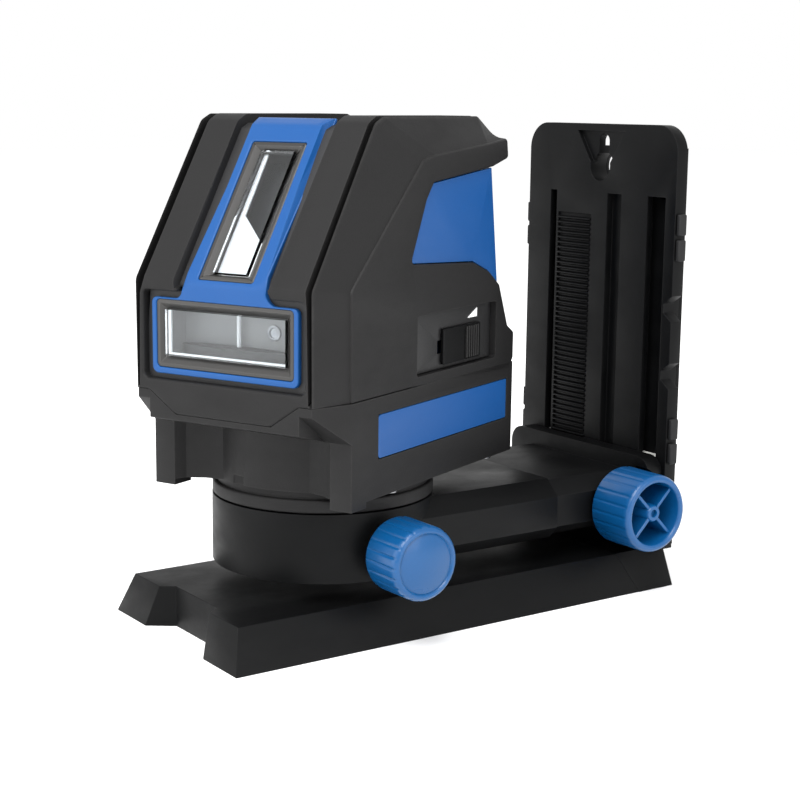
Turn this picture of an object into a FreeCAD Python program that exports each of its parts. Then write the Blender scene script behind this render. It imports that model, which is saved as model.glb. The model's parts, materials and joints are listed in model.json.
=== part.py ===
"""A self-levelling line laser on its wall and floor bracket, as a parametric assembly.

Axes: +X is the side that carries the two hand knobs, +Y points to the column, +Z is up.
The origin is on the floor, under the turntable's axis. Everything is in millimetres.
The laser head is drawn square to the bracket and each of its pieces is then turned about
the turntable's axis by head_turn.
"""
import FreeCAD, Part
import os
import re
import Sketcher

V = FreeCAD.Vector

SIZES = {
    # Foot: a flat wedge-sided plate under everything
    "foot_width": 68, "foot_top_width": 58, "foot_height": 11.4, "foot_front": 47.15,
    "foot_rear": 89.65, "foot_front_slope": 3.3, "foot_rear_slope": 5.3,
    "notch_mouth": 33, "notch_width": 23, "notch_depth": 7, "foot_wall": 3, "foot_border": 9,
    "base_thickness": 2, "base_gap": 0.1, "foot_boss_radius": 4,
    "insert_place": 30, "insert_radius": 5, "tripod_bore": 2.6,
    # Column: a grooved plate with a stiff spine behind it
    "column_width": 66, "column_height": 136.6, "column_front": 99.05, "column_thickness": 4.1,
    "column_corner": 8, "spine_width": 59, "spine_thickness": 2.45, "spine_height": 130,
    "cover_thickness": 1.2, "groove_bottom": 12.4, "groove_top": 115.9, "groove_mouth_depth": 2,
    "undercut_depth": 2.8, "right_groove_start": 21.3, "right_groove_end": 28.8,
    "right_undercut": 2.7, "left_groove_start": 19.6, "left_groove_end": 22.5,
    "left_undercut": 3, "dark_groove_start": 3.8, "dark_groove_end": 10, "dark_groove_depth": 2.4,
    "rack_start": 3.5, "rack_end": 18.6, "rack_top": 109.2, "rack_slot_depth": 2.45,
    "key_height": 123.9, "key_radius": 4.4, "key_slot": 4.4, "key_top": 133.6,
    "key_pocket_width": 21.2, "key_pocket_foot": 3.6, "key_pocket_top": 134.5, "key_pocket_depth": 1.5,
    "peep_place": 26.9, "peep_height": 114.8, "peep_width": 2,
    "notch_height": 7.6, "notch_flat": 2.6, "notch_inset": 3.5, "upper_notch": 83.7,
    "lower_notch": 63.8, "pad_proud": 1.5, "pad_thickness": 3, "pad_height": 6.2,
    "pad_pitch": 7.4, "upper_pads": 108.2, "lower_pads": 48,
    "magnet_radius": 7.5, "magnet_thickness": 2.2, "magnet_spacing": 30,
    "magnet_low": 40, "magnet_high": 98,
    "bolt_radius": 2, "bolt_head": 3.4, "bolt_head_length": 3, "bolt_spacing": 44,
    "bolt_height": 5.2, "bolt_length": 21, "small_screw": 1.3, "small_head": 2.5,
    "small_head_length": 1.1, "cover_screw_spacing": 26, "cover_screw_low": 18,
    "cover_screw_high": 125,
    # Carriage: drum, arm and sliding block
    "drum_radius": 30.7, "drum_bottom": 17.5, "drum_top": 36.1, "drum_wall": 3,
    "drum_floor": 3, "arm_width": 54, "arm_bottom": 18.5, "arm_top": 35.6,
    "arm_lower_width": 48, "arm_upper_width": 44, "arm_side_low": 22, "arm_side_high": 31,
    "arm_joint": 62.85, "arm_wall": 2.6, "block_inset": 0.7, "plate_front": 93.3,
    "plate_width": 64, "plate_top": 39.6, "slide_gap": 0.3, "shoe_gap": 0.15,
    "knob_clearance": 1, "plate_corner": 5, "plate_overlap": 0.5, "rib_reach": 5,
    "block_screw_rise": 3.2, "block_screw_grip": 8, "block_screw_bite": 6, "lug_wall": 1.7,
    "stay_start": 2.5, "stay_end": 7, "stay_width": 9, "stay_rise": 4, "bush_reach": 3,
    "bush_seat": 1, "ledge_rise": 1.4, "gear_cover_width": 40, "gear_cover_thickness": 1.8,
    "gear_cover_start": 34, "gear_cover_end": 80, "block_screw_spacing": 40,
    # Gears and shafts
    "shaft_radius": 2.5, "run_gap": 0.05, "bush_radius": 5, "shaft_height": 25.9,
    "lift_shaft_place": 87, "lift_module": 0.5, "lift_teeth": 16, "lift_gear_width": 8,
    "idler_pin_radius": 1.5, "gear_place": 11, "gear_gap": 0.5, "gear_pocket": 5.1,
    "turn_module": 0.8, "turn_teeth": 10, "crown_teeth": 55, "crown_face": 3,
    "crown_tooth_slope": 0.0165, "boss_radius": 9, "boss_top": 27,
    "spindle_radius": 5, "spindle_lift": 0.4, "spindle_bush": 7, "rib_width": 2,
    # Hand knobs
    "lift_knob_radius": 11.4, "lift_knob_start": 26.6, "lift_knob_length": 16,
    "lift_rim": 2.2, "lift_web": 3, "lift_hub": 4.6,
    "turn_knob_radius": 10, "turn_knob_start": 33, "turn_knob_length": 16.5,
    "turn_collar": 6.5,
    # Turntable and clamp screw
    "table_radius": 30.6, "table_top": 40, "table_gap": 0.3, "clamp_radius": 3,
    "clamp_head": 8.5, "clamp_head_height": 2.9, "clamp_reach": 49, "clamp_gap": 0.25,
    "clamp_drop": 3.2, "clamp_room": 0.5, "clip_start": 1.5, "clip_end": 0.3, "clip_lip": 0.5,
    # Laser head
    "head_turn": 23.5, "head_reach": 46, "head_width": 63, "module_width": 54.6,
    "case_wall": 2.2, "seam_height": 68.3, "case_bottom": 42, "case_front": 12,
    "post_bottom": 40.4, "blend_run": 10.6, "blend_depth": 6.9, "blend_sag": 2.3, "cell_room": 33,
    "rim_slot_width": 4, "rim_slot_height": 2.4, "rim_slot_left": 7, "rim_slot_right": 12,
    "case_rear": 97.8, "case_round": 30.5, "post_inner": 25, "face_top": 96.9,
    "slant_run": 27.8, "slant_rise": 40.1, "head_top": 138.8, "top_front": 30.5,
    "top_rear": 81, "nose": 91.8, "nose_height": 132.7, "nose_tip": 92.7, "nose_low": 127.1,
    "tail_top": 83.8, "tail_height": 124.8, "tail_low": 94.5, "tail_low_height": 53,
    "cheek_bevel": 12, "arm_rear": 98.4, "arm_tail_top": 79,
    "arm_tail_low": 66, "strip_width": 25, "strip_length": 49, "strip_recess": 1.5,
    "strip_thickness": 1.5, "slot_width": 28, "bezel_width": 17.2, "bezel_start": 0.6,
    "bezel_end": 43.3, "glass_width": 10.4, "glass_start": 4.3, "glass_end": 40.8,
    "glass_thickness": 1.2, "front_recess_width": 50.4, "front_recess_low": 71.4,
    "front_recess_high": 94.5, "frame_width": 45.8, "frame_low": 72.8, "frame_high": 93.5,
    "frame_inner_width": 41.8, "frame_inner_low": 74.9, "frame_inner_high": 91.8,
    "frame_thickness": 2.5, "window_width": 37.6, "window_low": 77.5, "window_high": 89.4,
    "blue_skin": 1.2, "band_front": 24.5, "band_low": 52, "band_high": 63.8, "blue_low": 92,
    # Switch, door and inside of the head
    "switch_low": 70.8, "switch_high": 87, "switch_front": 43.4, "switch_rear": 87,
    "switch_depth": 1.8, "slider_rear": 79.5, "slider_length": 21.1, "slider_low": 72,
    "slider_high": 82, "slider_thickness": 1.8, "slider_travel": 11, "tongue_length": 6,
    "tongue_height": 3, "tongue_reach": 4.5, "door_width": 49.6, "door_thickness": 2,
    "door_high": 61.6, "door_gap": 0.2, "door_pin_radius": 0.8, "door_barrel": 1.5,
    "door_pin_height": 44, "door_pin_place": 96.2, "cell_radius": 7.1, "cell_length": 49.5,
    "cell_first": 59.4, "cell_pitch": 14.5, "cell_height": 52.4, "tray_front": 51.7,
    "tray_wall": 0.6, "tray_width": 56, "tray_high": 60, "tray_rear_gap": 1.8, "screw_gap": 0.2,
    "contact_thickness": 0.4, "contact_gap": 0.1, "contact_start": 0.05, "contact_half_width": 4,
    "contact_half_height": 5,
    "pivot_place": 48, "pivot_height": 114, "ring_outer": 14, "ring_inner": 10.5,
    "ring_thickness": 5, "pivot_pin": 1, "post_width": 5, "post_place": 17,
    "frame_plate": 2.4, "pendulum_width": 13, "pendulum_depth": 10, "pendulum_low": 78,
    "weight_low": 74, "weight_width": 22, "weight_depth": 22, "weight_neck": 1.2, "module_radius": 5,
    "module_length": 20, "module_height": 84, "rise_drop": 13, "rise_length": 16,
    "magnet_gap": 1.5, "board_height": 131,
    "board_thickness": 1.6, "board_width": 40, "board_front": 42, "board_rear": 78,
    "insert_length": 8, "head_insert": 5.5, "case_screw_spacing": 54.6, "case_screw_front": 36,
    "case_screw_rear": 88, "frame_front": 33.2, "frame_rear": 84,
    "chin_width": 30, "chin_top_width": 47, "chin_low": 62.5, "chin_rear": 15.3,
    "apron_low": 57.8, "apron_front": 0.4, "apron_rear": 33, "apron_lip": 1.5,
}

doc = FreeCAD.newDocument("line_laser_on_bracket")
sheet = doc.addObject("Spreadsheet::Sheet", "dims")
for row, (alias, size) in enumerate(SIZES.items(), start=1):
    sheet.set(f"A{row}", str(size))
    sheet.setAlias(f"A{row}", alias)
doc.recompute()

NODES = []

# Planes and lines that several sub-parts share
COLUMN_BACK = "(column_front + column_thickness)"
SPINE_BACK = "(column_front + column_thickness + spine_thickness)"
COVER_BACK = "(column_front + column_thickness + spine_thickness + cover_thickness)"
IDLER_PLACE = "(lift_shaft_place + lift_module * lift_teeth)"
RACK_LINE = "(lift_shaft_place + lift_module * lift_teeth * 1.5)"
CROWN_RADIUS = "(turn_module * crown_teeth / 2)"
CROWN_LINE = "(shaft_height + turn_module * turn_teeth / 2)"
SLANT = "sqrt(slant_run ^ 2 + slant_rise ^ 2)"
TAIL_LEAN = "(tail_low - tail_top) / (tail_height - tail_low_height)"


def linked(text):
    """The expression with every named size read from the sheet."""
    return re.sub(r"[a-z_]+", lambda hit: "dims." + hit[0] if hit[0] in SIZES else hit[0], str(text))


def bind(thing, prop, text):
    """Tie one property of an object to the sheet."""
    thing.setExpression(prop, linked(text))


def block(x, y, z):
    """A box between the low and high bound of each axis."""
    box = doc.addObject("Part::Box", "block")
    for side, axis, (low, high) in zip(("Length", "Width", "Height"), "xyz", (x, y, z)):
        bind(box, side, f"({high}) - ({low})")
        bind(box, f".Placement.Base.{axis}", low)
    return box


TURN_TO = {"x": FreeCAD.Rotation(V(0, 1, 0), 90), "y": FreeCAD.Rotation(V(1, 0, 0), -90),
           "z": FreeCAD.Rotation()}


def rod(axis, radius, centre, span):
    """A cylinder along one axis, from the low to the high bound of span."""
    cylinder = doc.addObject("Part::Cylinder", "rod")
    cylinder.Placement = FreeCAD.Placement(V(), TURN_TO[axis])
    bind(cylinder, "Radius", radius)
    bind(cylinder, "Height", f"({span[1]}) - ({span[0]})")
    across = [name for name in "xyz" if name != axis]
    bind(cylinder, f".Placement.Base.{axis}", span[0])
    for name, place in zip(across, centre):
        bind(cylinder, f".Placement.Base.{name}", place)
    return cylinder


def sketch_on(body, plane, outline, offset):
    """A closed polygon on one of the body's origin planes, each corner tied to the sheet."""
    sketch = body.newObject("Sketcher::SketchObject", "outline")
    planes = [feature for feature in body.Origin.OriginFeatures if feature.Role == plane]
    sketch.AttachmentSupport = [(planes[0], "")]
    sketch.MapMode = "FlatFace"
    bind(sketch, ".AttachmentOffset.Base.z", offset)
    count = len(outline)
    for corner in range(count):
        start = V(corner, corner * corner, 0)
        end = V((corner + 1) % count, ((corner + 1) % count) ** 2, 0)
        sketch.addGeometry(Part.LineSegment(start, end), False)
    for corner in range(count):
        sketch.addConstraint(Sketcher.Constraint("Coincident", corner, 2, (corner + 1) % count, 1))
    for corner, place in enumerate(outline):
        for kind, text, now in zip(("DistanceX", "DistanceY"), place, (corner, corner * corner)):
            tie = sketch.addConstraint(Sketcher.Constraint(kind, -1, 1, corner, 1, float(now)))
            bind(sketch, f"Constraints[{tie}]", text)
    return sketch


def prism(plane, outline, span):
    """A padded polygon; plane is XY, YZ or XZ and span is along the axis across it."""
    body = doc.addObject("PartDesign::Body", "prism")
    offset = f"-({span[1]})" if plane == "XZ" else span[0]
    sketch = sketch_on(body, plane + "_Plane", outline, offset)
    pad = body.newObject("PartDesign::Pad", "pad")
    pad.Profile = sketch
    bind(pad, "Length", f"({span[1]}) - ({span[0]})")
    return body


def join(*pieces):
    """All the pieces fused into one."""
    fused = doc.addObject("Part::MultiFuse", "joined")
    fused.Shapes = list(pieces)
    return fused


def overlap(first, second):
    """What two pieces have in common."""
    shared = doc.addObject("Part::MultiCommon", "shared")
    shared.Shapes = [first, second]
    return shared


def cut(base, *tools):
    """The base with every tool taken away."""
    result = doc.addObject("Part::Cut", "trimmed")
    result.Base = base
    result.Tool = tools[0] if len(tools) == 1 else join(*tools)
    return result


def node(label, *pieces, in_head=False):
    """Name a finished sub-part; pieces of the head are turned with it."""
    single = pieces[0]
    if len(pieces) > 1 or in_head and single.TypeId in ("Part::Box", "Part::Cylinder"):
        single = doc.addObject("Part::Compound", "group")
        single.Links = list(pieces)
    single.Label = label
    if in_head:
        single.Placement = FreeCAD.Placement(V(), FreeCAD.Rotation(V(0, 0, 1), 1))
        bind(single, ".Placement.Rotation.Angle", "head_turn")
    NODES.append(single)


def rounded(piece, radius, picks):
    """The piece with every straight edge that picks accepts given a round."""
    doc.recompute()
    fillet = doc.addObject("Part::Fillet", "rounded")
    fillet.Base = piece
    edges = enumerate(piece.Shape.Edges, start=1)
    fillet.Edges = [(index, radius, radius) for index, edge in edges if picks(edge)]
    return fillet


def along(edge, axis):
    """Whether a straight edge runs along one axis."""
    if edge.Curve.TypeId != "Part::GeomLine":
        return False
    return abs(abs(edge.tangentAt(edge.FirstParameter).dot(axis)) - 1) < 1e-6


def mirrored(low, high):
    """The span and its mirror image about zero."""
    return ((low, high), (f"-({high})", f"-({low})"))


def screw(axis, centre, head_span, shank_span, shank="small_screw", head="small_head"):
    """A screw as one solid: a head and a shank on one axis."""
    return join(rod(axis, head, centre, head_span), rod(axis, shank, centre, shank_span))


def wheel(axis_centre, span, module, teeth, bore):
    """A spur gear along X: trapezoid teeth patterned round a disc, with a bore."""
    body = doc.addObject("PartDesign::Body", "wheel")
    bind(body, ".Placement.Base.y", axis_centre[0])
    bind(body, ".Placement.Base.z", axis_centre[1])
    root = f"({module} * ({teeth} / 2 - 1.2))"
    disc = body.newObject("PartDesign::AdditiveCylinder", "disc")
    disc.Placement = FreeCAD.Placement(V(), TURN_TO["x"])
    bind(disc, "Radius", root)
    bind(disc, "Height", f"({span[1]}) - ({span[0]})")
    bind(disc, ".Placement.Base.x", span[0])
    tip = f"({module} * ({teeth} / 2 + 0.92))"
    outline = [(f"-{module} * 0.95", f"{root} - {module} * 0.4"),
               (f"{module} * 0.95", f"{root} - {module} * 0.4"),
               (f"{module} * 0.62", f"{module} * {teeth} / 2"), (f"{module} * 0.3", tip),
               (f"-{module} * 0.3", tip), (f"-{module} * 0.62", f"{module} * {teeth} / 2")]
    sketch = sketch_on(body, "YZ_Plane", outline, span[0])
    tooth = body.newObject("PartDesign::Pad", "tooth")
    tooth.Profile = sketch
    bind(tooth, "Length", f"({span[1]}) - ({span[0]})")
    ring = body.newObject("PartDesign::PolarPattern", "teeth")
    ring.Originals = [tooth]
    ring.Axis = (axis_of(body, "X_Axis"), [""])
    bind(ring, "Occurrences", teeth)
    body.Tip = ring
    hole = body.newObject("PartDesign::SubtractiveCylinder", "bore")
    hole.Placement = FreeCAD.Placement(V(), TURN_TO["x"])
    bind(hole, "Radius", bore)
    bind(hole, "Height", f"({span[1]}) - ({span[0]})")
    bind(hole, ".Placement.Base.x", span[0])
    body.Tip = hole
    return body


def axis_of(body, role):
    """One of the body's own origin axes."""
    return [feature for feature in body.Origin.OriginFeatures if feature.Role == role][0]


# ---------------------------------------------------------------- bracket

def wedge(y_low_floor, y_low_top, y_high_floor, y_high_top):
    """A stretch of the foot's section: sides and ends lean in towards the top."""
    half, top = "foot_width / 2", "foot_top_width / 2"
    section = [(f"-{half}", 0), (half, 0), (top, "foot_height"), (f"-{top}", "foot_height")]
    side = [(y_low_floor, 0), (y_high_floor, 0), (y_high_top, "foot_height"),
            (y_low_top, "foot_height")]
    return overlap(prism("XZ", section, ("-foot_front", COLUMN_BACK)),
                   prism("YZ", side, ("-foot_width / 2", "foot_width / 2")))


def foot_corners():
    """The four places where screws hold the base plate up into the foot."""
    place = "foot_top_width / 2 - foot_border"
    front, rear = "-foot_front + 18", "foot_rear - 18"
    return [(x, y) for x in (place, f"-({place})") for y in (front, rear)]


def pocket_span(gap="0"):
    """The hollow under the foot, drawn smaller by a gap on every side."""
    half = f"foot_top_width / 2 - foot_wall - {gap}"
    return ((f"-({half})", half),
            (f"-foot_front + foot_border + foot_wall + {gap}", f"foot_rear - foot_border - {gap}"))


def foot_plate():
    """The foot's shell, hollow from below, with a notch in its front edge."""
    shell = wedge("-foot_front", "-foot_front + foot_front_slope", "foot_rear",
                  "foot_rear - foot_rear_slope")
    across, along_y = pocket_span()
    hollow = block(across, along_y, (0, "foot_height - foot_wall"))
    notch = prism("XY", [("-notch_mouth / 2", "-foot_front"), ("notch_mouth / 2", "-foot_front"),
                         ("notch_width / 2", "-foot_front + notch_depth"),
                         ("-notch_width / 2", "-foot_front + notch_depth")], (0, "foot_height"))
    boss_span = ("base_thickness", "foot_height - foot_wall")
    bosses = [rod("z", "foot_boss_radius", place, boss_span) for place in foot_corners()]
    holes = [rod("z", "small_screw", place, boss_span) for place in foot_corners()]
    seat = rod("z", "insert_radius + foot_wall / 2", (0, "insert_place"), boss_span)
    insert = rod("z", "insert_radius", (0, "insert_place"), boss_span)
    bolts = [rod("y", "bolt_radius", (x, "bolt_height"), (f"{COLUMN_BACK} - bolt_length", "foot_rear"))
             for x in ("bolt_spacing / 2", "-bolt_spacing / 2")]
    node("foot_plate", cut(join(cut(shell, hollow, notch), seat, *bosses), insert, *holes, *bolts))


def foot_base_plate():
    """A steel plate that closes the foot from below, flush with its rim."""
    across, along_y = pocket_span("base_gap")
    plate = block(across, along_y, (0, "base_thickness"))
    holes = [rod("z", "small_screw", place, (0, "base_thickness")) for place in foot_corners()]
    heads = [rod("z", "small_head", place, (0, "small_head_length")) for place in foot_corners()]
    insert = rod("z", "insert_radius", (0, "insert_place"), (0, "base_thickness"))
    node("foot_base_plate", cut(plate, insert, *holes, *heads))


def foot_screws():
    """Four screws that hold the base plate."""
    node("foot_screws", *[screw("z", place, (0, "small_head_length"),
                                ("small_head_length", "foot_height - foot_wall"))
                          for place in foot_corners()])


def tripod_insert():
    """A brass insert for a tripod screw, open downwards."""
    span = (0, "foot_height - foot_wall")
    place = (0, "insert_place")
    node("tripod_insert", cut(rod("z", "insert_radius", place, span),
                              rod("z", "tripod_bore", place, span)))


def keyhole(y_span):
    """The keyhole: a round hole with a slot above it."""
    circle = rod("y", "key_radius", (0, "key_height"), y_span)
    slot = block(("-key_slot / 2", "key_slot / 2"), y_span, ("key_height", "key_top - key_slot / 2"))
    end = rod("y", "key_slot / 2", (0, "key_top - key_slot / 2"), y_span)
    return join(circle, slot, end)


def side_notch(height, x_sign, y_span):
    """A notch with sloping ends in the column's edge."""
    edge, floor = "column_width / 2", "column_width / 2 - notch_inset"
    outline = [(f"{x_sign}({edge})", f"{height} + notch_height / 2"),
               (f"{x_sign}({floor})", f"{height} + notch_flat / 2"),
               (f"{x_sign}({floor})", f"{height} - notch_flat / 2"),
               (f"{x_sign}({edge})", f"{height} - notch_height / 2")]
    return prism("XZ", outline, y_span)


def column_base():
    """The block under the column, bolted to the foot's rear."""
    base = wedge("foot_rear", "foot_rear - foot_rear_slope", COLUMN_BACK, COLUMN_BACK)
    tools = []
    for x in ("bolt_spacing / 2", "-bolt_spacing / 2"):
        tools.append(rod("y", "bolt_radius", (x, "bolt_height"),
                         ("foot_rear - foot_rear_slope", COLUMN_BACK)))
        tools.append(rod("y", "bolt_head", (x, "bolt_height"),
                         (f"{COLUMN_BACK} - bolt_head_length", COLUMN_BACK)))
    node("column_base", cut(base, *tools))


def column():
    """The grooved column that stands on its base, with spine, keyhole and side notches."""
    front, back = "column_front", COLUMN_BACK
    half, corner = "column_width / 2", SIZES["column_corner"]
    plate = block((f"-{half}", half), (front, back), ("foot_height", "column_height"))
    plate = rounded(plate, corner, lambda edge: along(edge, V(0, 1, 0))
                    and edge.CenterOfMass.z > SIZES["column_height"] - 1)
    spine = block(("-spine_width / 2", "spine_width / 2"), (back, SPINE_BACK),
                  ("foot_height", "spine_height"))
    mouth = (front, f"{front} + groove_mouth_depth")
    under = (f"{front} + groove_mouth_depth", f"{front} + groove_mouth_depth + undercut_depth")
    tall = ("groove_bottom", "groove_top")
    tools = [
        block(("right_groove_start", "right_groove_end"), mouth, tall),
        block(("right_groove_start - right_undercut", "right_groove_end"), under, tall),
        block(("-left_groove_end", "-left_groove_start"), mouth, tall),
        block(("-left_groove_end - left_undercut", "-left_groove_start"), under, tall),
        block(("dark_groove_start", "dark_groove_end"), (front, f"{front} + dark_groove_depth"), tall),
        block(("-rack_end", "-rack_start"), (front, f"{front} + rack_slot_depth"),
              ("groove_bottom", "rack_top")),
        keyhole((front, SPINE_BACK)),
        prism("XZ", [("-key_pocket_width / 2", "key_pocket_top"), ("-key_pocket_foot", "key_height"),
                     ("key_pocket_foot", "key_height"), ("key_pocket_width / 2", "key_pocket_top")],
              (front, f"{front} + key_pocket_depth")),
        block(("peep_place - peep_width / 2", "peep_place + peep_width / 2"), (front, SPINE_BACK),
              ("peep_height - peep_width / 2", "peep_height + peep_width / 2")),
    ]
    for height in ("upper_notch", "lower_notch"):
        tools.append(side_notch(height, "", (front, back)))
        tools.append(side_notch(height, "-", (f"{front} + key_pocket_depth", back)))
    for place in magnet_places():
        tools.append(rod("y", "magnet_radius", place, (f"{COVER_BACK} - magnet_thickness", SPINE_BACK)))
    for place in cover_screw_places():
        tools.append(rod("y", "small_screw", place, (f"{back} - 0.5", SPINE_BACK)))
    node("column", cut(join(plate, spine), *tools))


def magnet_places():
    """The four magnets in the column's back, as x and height."""
    return [(x, z) for x in ("magnet_spacing / 2", "-magnet_spacing / 2")
            for z in ("magnet_low", "magnet_high")]


def cover_screw_places():
    """The four screws of the back cover, as x and height."""
    return [(x, z) for x in ("cover_screw_spacing / 2", "-cover_screw_spacing / 2")
            for z in ("cover_screw_low", "cover_screw_high")]


def back_cover():
    """The thin cover on the column's back, open for the magnets and the keyhole."""
    span = (SPINE_BACK, COVER_BACK)
    plate = block(("-spine_width / 2", "spine_width / 2"), span, ("foot_height", "spine_height"))
    tools = [rod("y", "magnet_radius", place, span) for place in magnet_places()]
    tools += [rod("y", "small_screw", place, span) for place in cover_screw_places()]
    tools += [rod("y", "small_head", place, (f"{COVER_BACK} - small_head_length", COVER_BACK))
              for place in cover_screw_places()]
    tools.append(keyhole(span))
    node("back_cover", cut(plate, *tools))


def back_magnets():
    """Four disc magnets, flush with the back cover."""
    span = (f"{COVER_BACK} - magnet_thickness", COVER_BACK)
    node("back_magnets", *[rod("y", "magnet_radius", place, span) for place in magnet_places()])


def cover_screws():
    """Four screws that hold the back cover."""
    node("cover_screws", *[screw("y", place, (f"{COVER_BACK} - small_head_length", COVER_BACK),
                                 (f"{COLUMN_BACK} - 0.5", f"{COVER_BACK} - small_head_length"))
                           for place in cover_screw_places()])


def column_bolts():
    """Two bolts through the column's base block into the foot."""
    node("column_bolts", *[screw("y", (x, "bolt_height"),
                                 (f"{COLUMN_BACK} - bolt_head_length", COLUMN_BACK),
                                 (f"{COLUMN_BACK} - bolt_length", f"{COLUMN_BACK} - bolt_head_length"),
                                 "bolt_radius", "bolt_head")
                           for x in ("bolt_spacing / 2", "-bolt_spacing / 2")])


def side_pads():
    """Rubber pads in pairs on both edges of the column."""
    pads = []
    for start in ("upper_pads", "lower_pads"):
        for step in (0, 1):
            middle = f"{start} - pad_pitch * {step}"
            for x in mirrored("column_width / 2", "column_width / 2 + pad_proud"):
                pads.append(block(x, ("column_front + 0.5", "column_front + 0.5 + pad_thickness"),
                                  (f"{middle} - pad_height / 2", f"{middle} + pad_height / 2")))
    node("side_pads", *pads)


def rack_strip():
    """The toothed strip that the lift gears climb; one tooth is padded and then repeated."""
    body = doc.addObject("PartDesign::Body", "rack")
    pitch = "pi * lift_module"
    start = f"shaft_height - {pitch} * 8"
    back, root = "column_front + rack_slot_depth", f"{RACK_LINE} + lift_module * 1.25"
    bar = sketch_on(body, "YZ_Plane", [(root, "groove_bottom"), (back, "groove_bottom"),
                                       (back, "rack_top"), (root, "rack_top")], "-rack_end + base_gap")
    base = body.newObject("PartDesign::Pad", "bar")
    base.Profile = bar
    bind(base, "Length", "rack_end - rack_start - 2 * base_gap")
    tip = f"{RACK_LINE} - lift_module * 0.92"
    tooth_line = sketch_on(body, "YZ_Plane", [
        (f"{root} + 0.1", f"{start} - lift_module * 1.1"), (f"{root} + 0.1", f"{start} + lift_module * 1.1"),
        (RACK_LINE, f"{start} + lift_module * 0.62"), (tip, f"{start} + lift_module * 0.3"),
        (tip, f"{start} - lift_module * 0.3"), (RACK_LINE, f"{start} - lift_module * 0.62")],
        "-rack_end + base_gap")
    tooth = body.newObject("PartDesign::Pad", "tooth")
    tooth.Profile = tooth_line
    bind(tooth, "Length", "rack_end - rack_start - 2 * base_gap")
    row_of_teeth = body.newObject("PartDesign::LinearPattern", "teeth")
    row_of_teeth.Originals = [tooth]
    row_of_teeth.Direction = (axis_of(body, "Z_Axis"), [""])
    row_of_teeth.Mode = "Spacing"
    bind(row_of_teeth, "Offset", pitch)
    bind(row_of_teeth, "Occurrences", f"floor((rack_top - 1 - ({start})) / ({pitch})) + 1")
    body.Tip = row_of_teeth
    node("rack_strip", body)


# ---------------------------------------------------------------- carriage

def arm_section(inset, y_span):
    """The arm's eight-sided section, drawn smaller by inset on every side."""
    low, side, high = (f"arm_{part}width / 2 - {inset}" for part in ("lower_", "", "upper_"))
    right = [(low, f"arm_bottom + {inset}"), (side, f"arm_side_low"), (side, f"arm_side_high"),
             (high, f"arm_top - {inset}")]
    left = [(f"-({x})", z) for x, z in reversed(right)]
    return prism("XZ", right + left, y_span)


def gear_opening(gap, thickness):
    """The gear cover's seat in the arm's floor."""
    half = f"gear_cover_width / 2 - {gap}"
    return block((f"-({half})", half), (f"gear_cover_start + {gap}", f"gear_cover_end - {gap}"),
                 ("arm_bottom", f"arm_bottom + {thickness}"))


def gear_cover_places():
    """The four screws of the gear cover, as x and y."""
    return [(x, y) for x in ("gear_cover_width / 2 - 4", "-gear_cover_width / 2 + 4")
            for y in ("gear_cover_start + 4", "gear_cover_end - 4")]


def block_screw_places():
    """The two screws that join arm and block, as x and height."""
    return [(x, "arm_side_low + block_screw_rise")
            for x in ("block_screw_spacing / 2", "-block_screw_spacing / 2")]


def arm_housing():
    """The drum under the turntable with the arm's front half, hollow for the gears."""
    drum = rod("z", "drum_radius", (0, 0), ("drum_bottom", "drum_top"))
    arm = arm_section("0", (0, "arm_joint"))
    cavity = rod("z", "drum_radius - drum_wall", (0, 0), ("drum_bottom + drum_floor", "drum_top"))
    hollow = arm_section("arm_wall", ("drum_radius + drum_wall", "arm_joint"))
    boss = rod("z", "boss_radius", (0, 0), ("drum_bottom + drum_floor", "boss_top"))
    stay = block(("boss_radius + stay_start", "boss_radius + stay_end"),
                 ("-stay_width / 2", "stay_width / 2"),
                 ("drum_bottom + drum_floor", "shaft_height + stay_rise"))
    tools = [
        rod("z", "spindle_bush", (0, 0), ("drum_bottom + drum_floor", "boss_top")),
        rod("z", "clamp_head", (0, 0), ("drum_bottom", "drum_bottom + drum_floor")),
        rod("x", "shaft_radius + run_gap", (0, "shaft_height"),
            ("boss_radius + stay_start", "boss_radius + stay_end")),
        rod("x", "bush_radius", (0, "shaft_height"),
            ("drum_radius - drum_wall - bush_reach", "drum_radius + bush_reach")),
        gear_opening("0", "gear_cover_thickness"),
    ]
    for place in block_screw_places():
        tools.append(rod("y", "small_screw", place, ("arm_joint - block_screw_grip", "arm_joint")))
    shell = cut(join(drum, arm), cavity, hollow)
    ledge = gear_ledge("gear_cover_start", "arm_joint")
    lugs = [rod("y", "small_screw + lug_wall", place, ("arm_joint - block_screw_grip", "arm_joint"))
            for place in block_screw_places()]
    node("arm_housing", cut(join(shell, boss, stay, ledge, *lugs), *tools, *cover_holes(0)))


def gear_ledge(start, end):
    """The floor of the arm that the gear cover screws into."""
    return block(("-gear_cover_width / 2", "gear_cover_width / 2"), (start, end),
                 ("arm_bottom + gear_cover_thickness", "arm_bottom + arm_wall + ledge_rise"))


def cover_holes(row):
    """The holes for one row of the gear cover's screws."""
    return [rod("z", "small_screw", place, ("arm_bottom", "arm_bottom + arm_wall + ledge_rise"))
            for place in gear_cover_places()[row::2]]


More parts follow.
